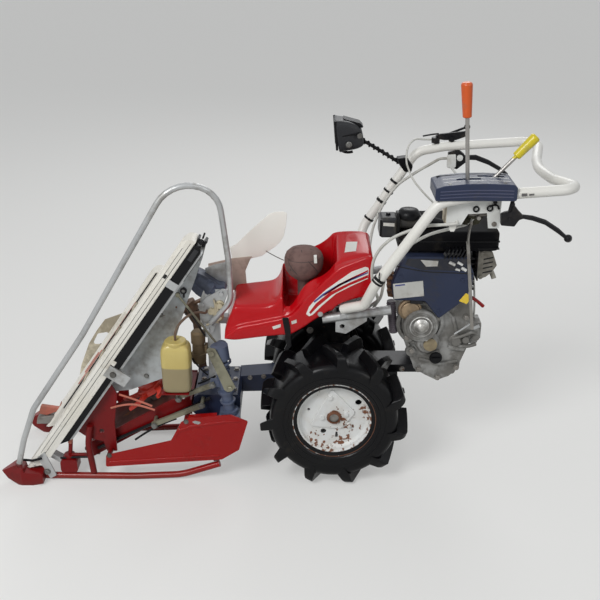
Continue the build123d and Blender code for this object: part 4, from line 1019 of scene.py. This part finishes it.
group("engineStrip", "bareSteel", [
    (plate, [(-341, 700), (-350, 700), (-380, 444), (-371, 444)], 130.4, 133, 0.5),
    (bar, [(-346, 131.5, 696), (-342, 150, 740), (-338, 200, 776)], 3.5)])
rings = [(disc, [(0, 0), (0, 47), (4, 48), (7, 46), (8, 40), (6, 39), (6, 34), (9, 33), (10, 30), (10, 0)],
          (-236, 121.5, 452)),
         (disc, [(0, 0), (0, 30), (3, 31), (6, 28), (6, 21), (4, 20), (4, 0)], (-258, 113.6, 396)),
         (disc, [(-4, 66), (4, 66), (7, 62), (7, 56), (-4, 56)], (-236, 104, 452)),
         (disc, [(0, 0), (0, 15), (14, 13), (14, 0)], (-206, 100, 410)),
         (disc, [(0, 0), (0, 15), (12, 13), (12, 0)], (-214, 100, 366)),
         (plate, [(-181, 500), (-187, 440), (-197, 400), (-205, 380), (-212, 384), (-203, 404), (-194, 444),
                      (-188, 500)], 98, 112, 3),
         (plate, [(-300, 500), (-330, 470), (-344, 420), (-330, 380), (-322, 382), (-335, 420), (-322, 466),
                      (-294, 494)], 98, 106, 2.5),
         (plate, [(-238, 336), (-300, 318), (-348, 330), (-347, 338), (-300, 328), (-240, 345)], 98, 106, 2.5)]
group("crankcaseRings", "aluminiumCast", rings, smooth=40)
group("crankcaseBright", "castBright", [
    (disc, [(0, 0), (0, 20), (3, 22), (6, 21), (9, 16), (14, 13), (18, 7), (19, 0)], (-236, 131.5, 456)),
    (disc, [(0, 0), (0, 8), (10, 8), (12, 6), (12, 0)], (-252, 113.6, 412)),
    (disc, [(-2, 30), (2, 31.5), (5, 31), (6, 29), (-2, 28)], (-236, 128, 452))], smooth=40)
group("bronzeRing", "bronzeCast", [
    (disc, [(0, 0), (0, 31), (8, 33), (12, 31), (14, 26), (20, 25), (23, 21), (23, 0)],
        (-206, 100.2, 494))], smooth=40)
group("crankcaseOchre", "ochreDirt", [(disc, [(0, 0), (0, 19), (3, 19), (4, 16), (4, 0)], (-266, 117.4, 391))])
group("crankcasePlug", "blackPlastic", [
    (disc, [(0, 0), (0, 17), (5, 18), (9, 16), (9, 0)], (-283, 117.6, 352)),
    (plate, [(-270, 356), (-296, 356), (-296, 348), (-270, 348)], 126, 132, 1)])
group("crankcaseBolts", "bareSteel", [
    (bolts, [(x, 110, z) for x, z in ((-216, 368), (-238, 310), (-293, 284), (-344, 316), (-200, 410),
        (-362, 470))], left, 13, 6),
    (bolts, [(-282, 118, 470)], left, 10, 4)])
group("shroudBolts", "navyPaint", [
    (bolts, [(-176, 129.6, 600), (-340, 129.6, 590), (-282, 129.6, 500)], left, 9, 3.4)])
group("breatherHose", "hoseGrey", [
    (disc, [(0, 0), (0, 11)] + [(3 + i * 6 + k * 2, 13 if k == 1 else 10.4) for i in range(15)
        for k in (0, 1, 2)] + [(96, 11), (96, 0)], (-166, 92, 418), (0.12, 0, 0.99), 24)])


# Right face, which the photo doesn't show: a bearing cover with its ring of bolts, and a rib
x, y, z = -268, -70, 424
group("crankcaseRight", "aluminiumCast", [
    (disc, [(-2, 0), (-2, 56), (4, 56), (7, 53), (7, 34), (10, 32), (13, 28), (13, 12), (11, 10), (11, 0)],
        (x, y, z), right, 48),
    (disc, [(-2, 0), (-2, 20), (8, 19), (9, 16), (9, 0)], (-300, y, 330), right, 32),
    (plate, [(-230, 352), (-286, 330), (-322, 300), (-316, 294), (-280, 322), (-226, 344)], -76, -68,
        2)], smooth=40)
group("crankcaseRightBolts", "boltZinc", [
    (bolts, [(x + 45 * math.cos(i * math.tau / 6), y - 7, z + 45 * math.sin(i * math.tau / 6))
        for i in range(6)], right, 10, 5)])


# Carburettor side, exhaust, tank, air cleaner
group("carburettorBits", "aluminiumCast", [
    (disc, [(0, 0), (0, 17), (5, 18), (8, 14), (8, 0)], (-388, 84, 418)),
    (disc, [(0, 0), (0, 10), (9, 10), (9, 0)], (-396, 84, 400)),
    (disc, [(0, 0), (0, 18), (6, 20), (10, 15), (16, 12), (16, 0)], (-338, 100, 398)),
    (disc, [(0, 0), (0, 11), (18, 9), (18, 0)], (-364, 100, 404)),
    (bar, [(-330, 112, 408), (-356, 116, 416), (-384, 100, 424), (-398, 92, 410)], 4.5),
    (bar, [(-344, 108, 384), (-366, 110, 378), (-396, 92, 380)], 5.5),
    (plate, [(-318, 372), (-362, 366), (-366, 376), (-340, 384), (-318, 384)], 98, 110, 2),
    (bolts, [(-402, 84, 432), (-402, 84, 396)], left, 9, 5)], smooth=40)
group("carburettorLever", "zincPlate", [
    (plate, [(-372, 428), (-402, 440), (-405, 432), (-376, 420)], 90, 93, 0.4),
    (bar, [(-330, 118, 424), (-352, 120, 440), (-372, 112, 452)], 2.5)])
# the louvres are near-black plates: painted shade in the muffler's openings
louvres = [(plate, [(-400, 590 + i * 13), (-426, 596 + i * 13), (-427, 600 + i * 13), (-401, 594 + i * 13)],
            83.4, 85, 0.4) for i in range(4)]
group("mufflerLouvres", "blackAndGapShade", louvres)
group("mufflerRims", "exhaustPaint", [
    (plate, [(-386, 568), (-390, 568), (-390, 656), (-386, 656)], -10, 84, 1),
    (bar, [(-424, 60, 596), (-432, 66, 582), (-436, 70, 570)], 7),
    (bolts, [(-396, 84, 580), (-396, 84, 648)], left, 10, 4)])
group("tankTrim", "blackPlastic", [
    (plate, [(-172, 684), (-438, 684), (-438, 688), (-172, 688)], -94, 97.6, 1),
    (disc, [(0, 0), (0, 26), (3, 27), (12, 26), (15, 20), (15, 0)], (-250, 20, 712), up),
    (plate, [(-380, 668), (-438, 668), (-438, 664), (-380, 664)], 60, 98, 1)])
group("cleanerCap", "blackPlastic", [
    (disc, [(0, 0), (0, 29), (6, 31), (14, 30), (22, 24), (25, 12), (25, 0)], (-196, 58, 742), up),
    (disc, [(-3, 20), (-3, 34), (3, 34), (3, 20)], (-166, 60, 726), (1, 0, 0)),
    (bar, [(-226, 60, 732), (-262, 58, 728), (-296, 50, 712)], 17, True, 4)], smooth=40)
group("cleanerMark", "blankLabel", [(plate, [(-126, 738), (-156, 736), (-156, 727), (-126, 729)], 90, 90.6, 0.1)])
group("cleanerRims", "blackPaint", [
    (plate, [(-117, 700), (-121, 700), (-121, 746), (-117, 746)], 28, 92, 1),
    (bolts, [(-141, 60, 750)], up, 12, 6)])
print("engine trim made")


# The handle's rising tubes: a spot on one at a height, and its way
handleLine = {"low": (-98, 230, 618), "bend": (-246, 240, 842), "tube": 13.6}


def onRise(z, side):
    low, bend = Vector(handleLine["low"]), Vector(handleLine["bend"])
    spot = low.lerp(bend, (z - low.z) / (bend.z - low.z))
    return Vector((spot.x, side * spot.y, z))


def riseWay(side):
    way = Vector(handleLine["bend"]) - Vector(handleLine["low"])
    return way.x, side * way.y, way.z


# Lever box: ribs along its near face painted a lighter navy as a painted highlight, slot floors in painted shade
# with painted highlights along the slot edges, a boot and screws
ribs = [(bar, [(-246, 257.6, z), (-300, 258, z + 4), (-364, 258, z + 5), (-424, 257.6, z + 3)], 1.7)
        for z in (858, 866, 874)]
group("boxRibs", "boxRibHighlight", ribs)
group("boxSlots", "blackAndGapShade", [
    (plate, [(-290.4, 862.1), (-349.6, 862.1), (-349.6, 864), (-290.4, 864)], 208.3, 219.7, 0),
    (plate, [(-345.4, 862.1), (-411.6, 862.1), (-411.6, 864), (-345.4, 864)], 184.3, 195.7, 0),
    (disc, [(0, 9.6), (2, 9), (8, 7), (10, 5.6), (0, 5.2)], (-319, 214, 863), up, 24),
    (bar, [(-246, 172, 887), (-308, 172, 892.6), (-364, 172, 893.6), (-420, 172, 891)], 2.4)])
group("boxEdges", "panelPaint", [
    (bar, [(-258, y, 888), (-308, y, 893), (-364, y, 894), (-420, y, 891.4)], 1.6)
    for y in (228, 202)])
group("boxScrews", "boltZinc", [
    (disc, [(0, 0), (0, 5), (1.6, 4.6), (2.4, 0)], (x, 244, z), up, 20) for x, z in ((-270, 889.4), (-404, 892))])


# Panel under it: rings, lug, clutch levers, right clamp, olive pawl, cream flange and small rods
group("panelRings", "blackPlastic", [
    (disc, [(0, 4.5), (0, 8), (3, 8.4), (4, 6), (4, 4.5), (0, 4.5)], (x, 222, z))
    for x, z in ((-342, 820), (-376, 822))] + [
    (bar, [(-376, 224, 826), (-384, 226, 832), (-396, 226, 830), (-398, 224, 820)], 2.4),
    (disc, [(0, 0), (0, 5), (3, 5), (3, 0)], (-388, 222, 838))])
group("panelLug", "whitePaint", [
    (plate, [(-278, 780), (-278, 768), (-282, 760), (-291, 760), (-296, 768), (-296, 780)], 219, 222, 0.8)])
leverKnob = [(-10, 0), (-9, 5), (-5, 9), (0, 10.4), (5, 9), (9, 5), (10, 0)]
group("leverLeft", "blackPaint", [
    (plate, [(-400, 812), (-402, 784), (-436, 781), (-446, 798), (-457, 802), (-455, 810), (-444, 821),
        (-434, 834), (-428, 834), (-424, 820), (-410, 817)], 229, 247, 3),
    (plate, [(-418, 818), (-430, 818), (-432, 852), (-424, 852)], 234, 242, 1.5),
    (plate, [(-446, 812), (-450, 801), (-480, 795), (-512, 784), (-544, 763), (-568, 745), (-574, 752),
        (-548, 775), (-514, 797), (-480, 808)], 233, 243, 4, 3),
    (disc, leverKnob, (-574, 238, 748)),
    (bolts, [(-422, 247, 800), (-427, 242, 838)], left, 9, 4)], instead=["clutch_lever_left"])
group("leverRight", "blackPaint", [
    (plate, [(-338, 841), (-340, 800), (-366, 790), (-392, 812), (-386, 836), (-370, 848)], -246, -230, 3),
    (plate, [(-384, 832), (-388, 818), (-420, 817), (-458, 803), (-494, 783), (-516, 768), (-520, 776),
        (-494, 797), (-458, 818), (-420, 833)], -243, -233, 4, 3),
    (disc, leverKnob, (-512, -238, 763))], instead=["clutch_lever_right"])
group("clampRight", "panelPaint", [
    (plate, [(-334, 836), (-360, 838), (-362, 800), (-352, 794), (-335, 798)], -231, -221, 4),
    (disc, [(0, 0), (0, 9), (4, 9), (5, 5), (5, 0)], (-372, -230, 826)),
    (bar, [(-350, -224, 796), (-368, -222, 776), (-372, -222, 762)], 3.4)])
group("panelPawl", "pawlOlive", [
    (plate, [(-310, 768), (-324, 792), (-338, 804), (-368, 802), (-371, 781), (-362, 764), (-344, 758),
        (-322, 762)], 170, 174, 1.2),
    (plate, [(-328, 786), (-342, 797), (-362, 796), (-362, 786), (-344, 780)], 174, 186, 2),
    (disc, [(0, 0), (0, 8), (6, 8), (8, 5), (8, 0)], (-330, 174, 774)),
    (bolts, [(-356, 186, 790)], left, 9, 4)])
group("panelFlange", "creamPlastic", [
    (plate, [(-268.4, 849), (-270.2, 849), (-270.2, 776), (-268.4, 776)], 168, 221, 0.4)])
group("panelBits", "bareSteel", [
    (bar, [(-330, 196, 800), (-350, 196, 796), (-380, 196, 800)], 6),
    (bolts, [(-300, 222, 838), (-390, 222, 780)], left, 10, 4),
    (bar, [(-404, 200, 800), (-330, 200, 812), (-276, 200, 812)], 4, False),
    (bar, [(-352, 169, 786), (-352, 200, 790), (-352, 219, 794)], 5, False)])


# Handle: bands, marks on the left grip, throttle plate, and the lamp on its wrapped arm
lamp = {
    "y": -240, "lean": 0.17, "top": 943, "corner": 0.34,
    # how far back, lowest, highest, half width
    "rows": [(0, 847, 941, 44), (3, 846, 943, 46), (12, 848, 943, 45), (14, 850, 942, 43), (34, 852, 941, 42),
             (56, 856, 934, 38), (70, 862, 922, 32), (78, 868, 910, 25)],
}


bands = [(band, onRise(z, side), riseWay(side), handleLine["tube"] - 0.4, wide, 2.8)
         for z, side, wide in ((634, 1, 7), (626, 1, 5), (694, -1, 8), (724, -1, 6), (752, -1, 7), (800, -1, 9),
                               (640, -1, 6))]
tail = [onRise(z, 1) + Vector(out) for z, out in ((634, (0, 14, 0)), (640, (9, 18, 6)), (650, (12, 16, 10)))]
bands.append((bar, tail, 1.6))
group("handleBands", "blackPlastic", bands)
group("gripMarks", "labelDark", [
    (plate, [(-444, 869), (-457, 870), (-457, 863), (-444, 862)], 252.6, 253.8, 0.2),
    (plate, [(-462, 868), (-474, 869), (-474, 865), (-462, 864)], 252.6, 253.8, 0.2)])
group("gripBolts", "zincPlate", [(bolts, [(-22, 159, 500)], left, 14, 6)])
group("throttlePlate", "blackPaint", [
    (plate, [(-298, 889), (-312, 895), (-388, 903), (-390, 899), (-386, 886), (-359, 876), (-324, 876),
        (-306, 879)], -245, -237, 2.2),
    (disc, [(-8, 0), (-8, 8), (-2, 10), (4, 8), (4, 0)], (-346, -236, 880)),
    (bar, [(-308, -240, 895), (-286, -240, 893), (-262, -239, 888)], 2.4)])
group("lampWrap", "blackPlastic", [
    (coil, (-84, -240, 878), (-196, -238, 811), 6.6, 8, 2.3),
    (plate, [(-188, 826), (-216, 830), (-236, 804), (-232, 784), (-212, 786), (-196, 806)], -252, -220, 4),
    (bolts, [(-214, -220, 806)], left, 12, 6)])
housing = []
for back, low, high, half in lamp["rows"]:
    middle = (low + high) / 2
    housing.append(roundedRow(half, (high - low) / 2, lamp["corner"], lambda a, b: (
        -2 - back - lamp["lean"] * (lamp["top"] - (middle + b)), lamp["y"] + a, middle + b)))
handOver(skinOver("lampHousing", housing, 1), "greyPlastic", instead=["work_lamp"], smooth=40)
group("lampArm", "blackPlastic", [
    (bar, [(-78, -240, 880), (-108, -240, 866), (-198, -238, 809)], 5),
    (bar, [(-26, -240, 846), (-40, -240, 836), (-60, -240, 842)], 4),
    (plate, [(-18, 898), (-78, 908), (-78, 904), (-18, 894)], -283, -197, 1)])
group("lampKnob", "boltZinc", [
    (disc, [(0, 0), (0, 9), (3, 9), (4, 6), (7, 5), (7, 0)], (-46, -194.6, 874)),
    (disc, [(0, 0), (0, 7), (4, 7), (4, 0)], (-76, -194.4, 900))])
group("lampGlass", "lampLens", [(plate, [(-14, 864), (-10, 864), (-4, 934), (-8, 934)], -278, -202, 1)])
group("lampRim", "blackPlastic", [
    (plate, [(-16, 856), (-9, 856), (-2, 940), (-9, 941)], y, y + 8, 1.4) for y in (-284, -204)] + [
    (plate, [(-30, 944), (-34, 938), (-84, 916), (-88, 920), (-78, 931)], -262, -218, 2)])


# Transmission, base tubes and engine bed: bolts, plates and seams that show from the side and below
group("caseBolts", "bareSteel", [
    (bolts, [(x, side * 44, z) for x, z in ((50, 280), (58, 340), (66, 400), (-52, 260), (-30, 340),
        (-16, 410))], (0, side, 0), 15, 7)
    for side in (1, -1)] + [
    (bolts, [(40, 34, 478), (40, -34, 478), (-24, 24, 478), (-24, -24, 478)], up, 15, 7),
    (bolts, [(120, 34, 246), (160, 34, 246), (200, 34, 246), (240, 34, 242)], left, 11, 5),
    (bolts, [(280, 60, 250), (280, 120, 250), (370, 60, 250), (370, 120, 250), (280, 0, 250), (370, 0, 250)],
        up, 13, 6)])
group("caseSeams", "blackPaint", [
    (plate, [(76, 262), (84, 262), (84, 198), (76, 198)], -40, 40, 2),
    (plate, [(-77, 466), (76, 466), (76, 472), (-36, 472), (-36, 470)], -46, 46, 1.4)] + [
    (disc, [(s * 52, 0), (s * 52, 58), (s * 58, 56), (s * 58, 0)], (0, 0, 206)) for s in (1, -1)])
group("bedBolts", "bareSteel", [
    (bolts, [(-290, 30, 290), (-290, -30, 290), (-100, 20, 290), (-100, -20, 290)], up, 14, 7),
    (bolts, [(-110, 44, 276), (-200, 44, 276), (-300, 44, 276)], left, 12, 6)])
group("rightBolts", "boltZinc", [
    (bolts, [(690, -76.3, 290), (600, -76.3, 392), (740, -76.3, 214)], right, 12, 5)])
print("handle and chassis trim made")


# Floor, light and camera; rays that show the floor or the sky see a level of their own, which lights nothing
stage = {
    "floor": ((0.50, 0.50, 0.49), (0.46, 0.46, 0.45)), "floorGlow": (0.32, 0.32, 0.315), "floorWidth": 60,
    "sky": (0.96, 0.98, 1.0, 1), "skyLight": 0.30, "skyShown": 0.80, "rays": ("Camera", "Glossy", "Transmission"),
    "camera": (0.0943, 2.419, 1.551), "turn": (66, 0, 180), "sensor": 36, "lens": 55.8,
    # place, aimed at, width, watts
    "lamps": {
        "windowLight": ((1.8, 2.6, 3.0), (0.1, 0, 0.4), 1.5, 92),
        "fillLight": ((-2.6, 2.4, 2.2), (0, 0, 0.5), 1.4, 18),
        "backLight": ((-0.6, -2.8, 2.8), (0, 0, 0.5), 1.6, 32),
    },
}


def makeStage():
    floor = fresh(bpy.ops.mesh.primitive_plane_add, size=stage["floorWidth"], location=(0, 0, 0))
    floor.name = "floor"
    finish = Finish("floorPaint")
    finish.wear(finish.mix(finish.noise(0.8, 3) * 0.12, *stage["floor"]), 0.85)
    shown = sum(finish.node("ShaderNodeLightPath", out=f"Is {ray} Ray") for ray in stage["rays"])
    finish.put(finish.skin.inputs["Emission Color"], finish.mix(shown, (0, 0, 0), stage["floorGlow"]))
    finish.skin.inputs["Emission Strength"].default_value = 1
    floor.data.materials.append(finish.material)

    for name, (place, aim, width, watts) in stage["lamps"].items():
        light = fresh(bpy.ops.object.light_add, type="AREA", location=place)
        light.name = name
        light.data.energy = watts
        light.data.size = width
        light.rotation_euler = (Vector(aim) - Vector(place)).to_track_quat("-Z", "Y").to_euler()

    world = bpy.data.worlds.new("studio")
    bpy.context.scene.world = world
    world.use_nodes = True
    tree = world.node_tree
    sky = tree.nodes["Background"]
    path = tree.nodes.new("ShaderNodeLightPath")
    shown = path.outputs[f"Is {stage['rays'][0]} Ray"]
    for ray in stage["rays"][1:]:
        either = tree.nodes.new("ShaderNodeMath")
        either.operation = "MAXIMUM"
        tree.links.new(shown, either.inputs[0])
        tree.links.new(path.outputs[f"Is {ray} Ray"], either.inputs[1])
        shown = either.outputs[0]
    level = tree.nodes.new("ShaderNodeMapRange")
    tree.links.new(shown, level.inputs["Value"])
    level.inputs["To Min"].default_value = stage["skyLight"]
    level.inputs["To Max"].default_value = stage["skyShown"]
    sky.inputs["Color"].default_value = stage["sky"]
    tree.links.new(level.outputs[0], sky.inputs["Strength"])

    camera = fresh(bpy.ops.object.camera_add, location=stage["camera"],
                   rotation=[math.radians(angle) for angle in stage["turn"]])
    camera.data.sensor_width = stage["sensor"]
    camera.data.lens = stage["lens"]
    bpy.context.scene.camera = camera
    bpy.context.scene.view_settings.view_transform = "Standard"


makeStage()
print("stage, lamps and camera set")
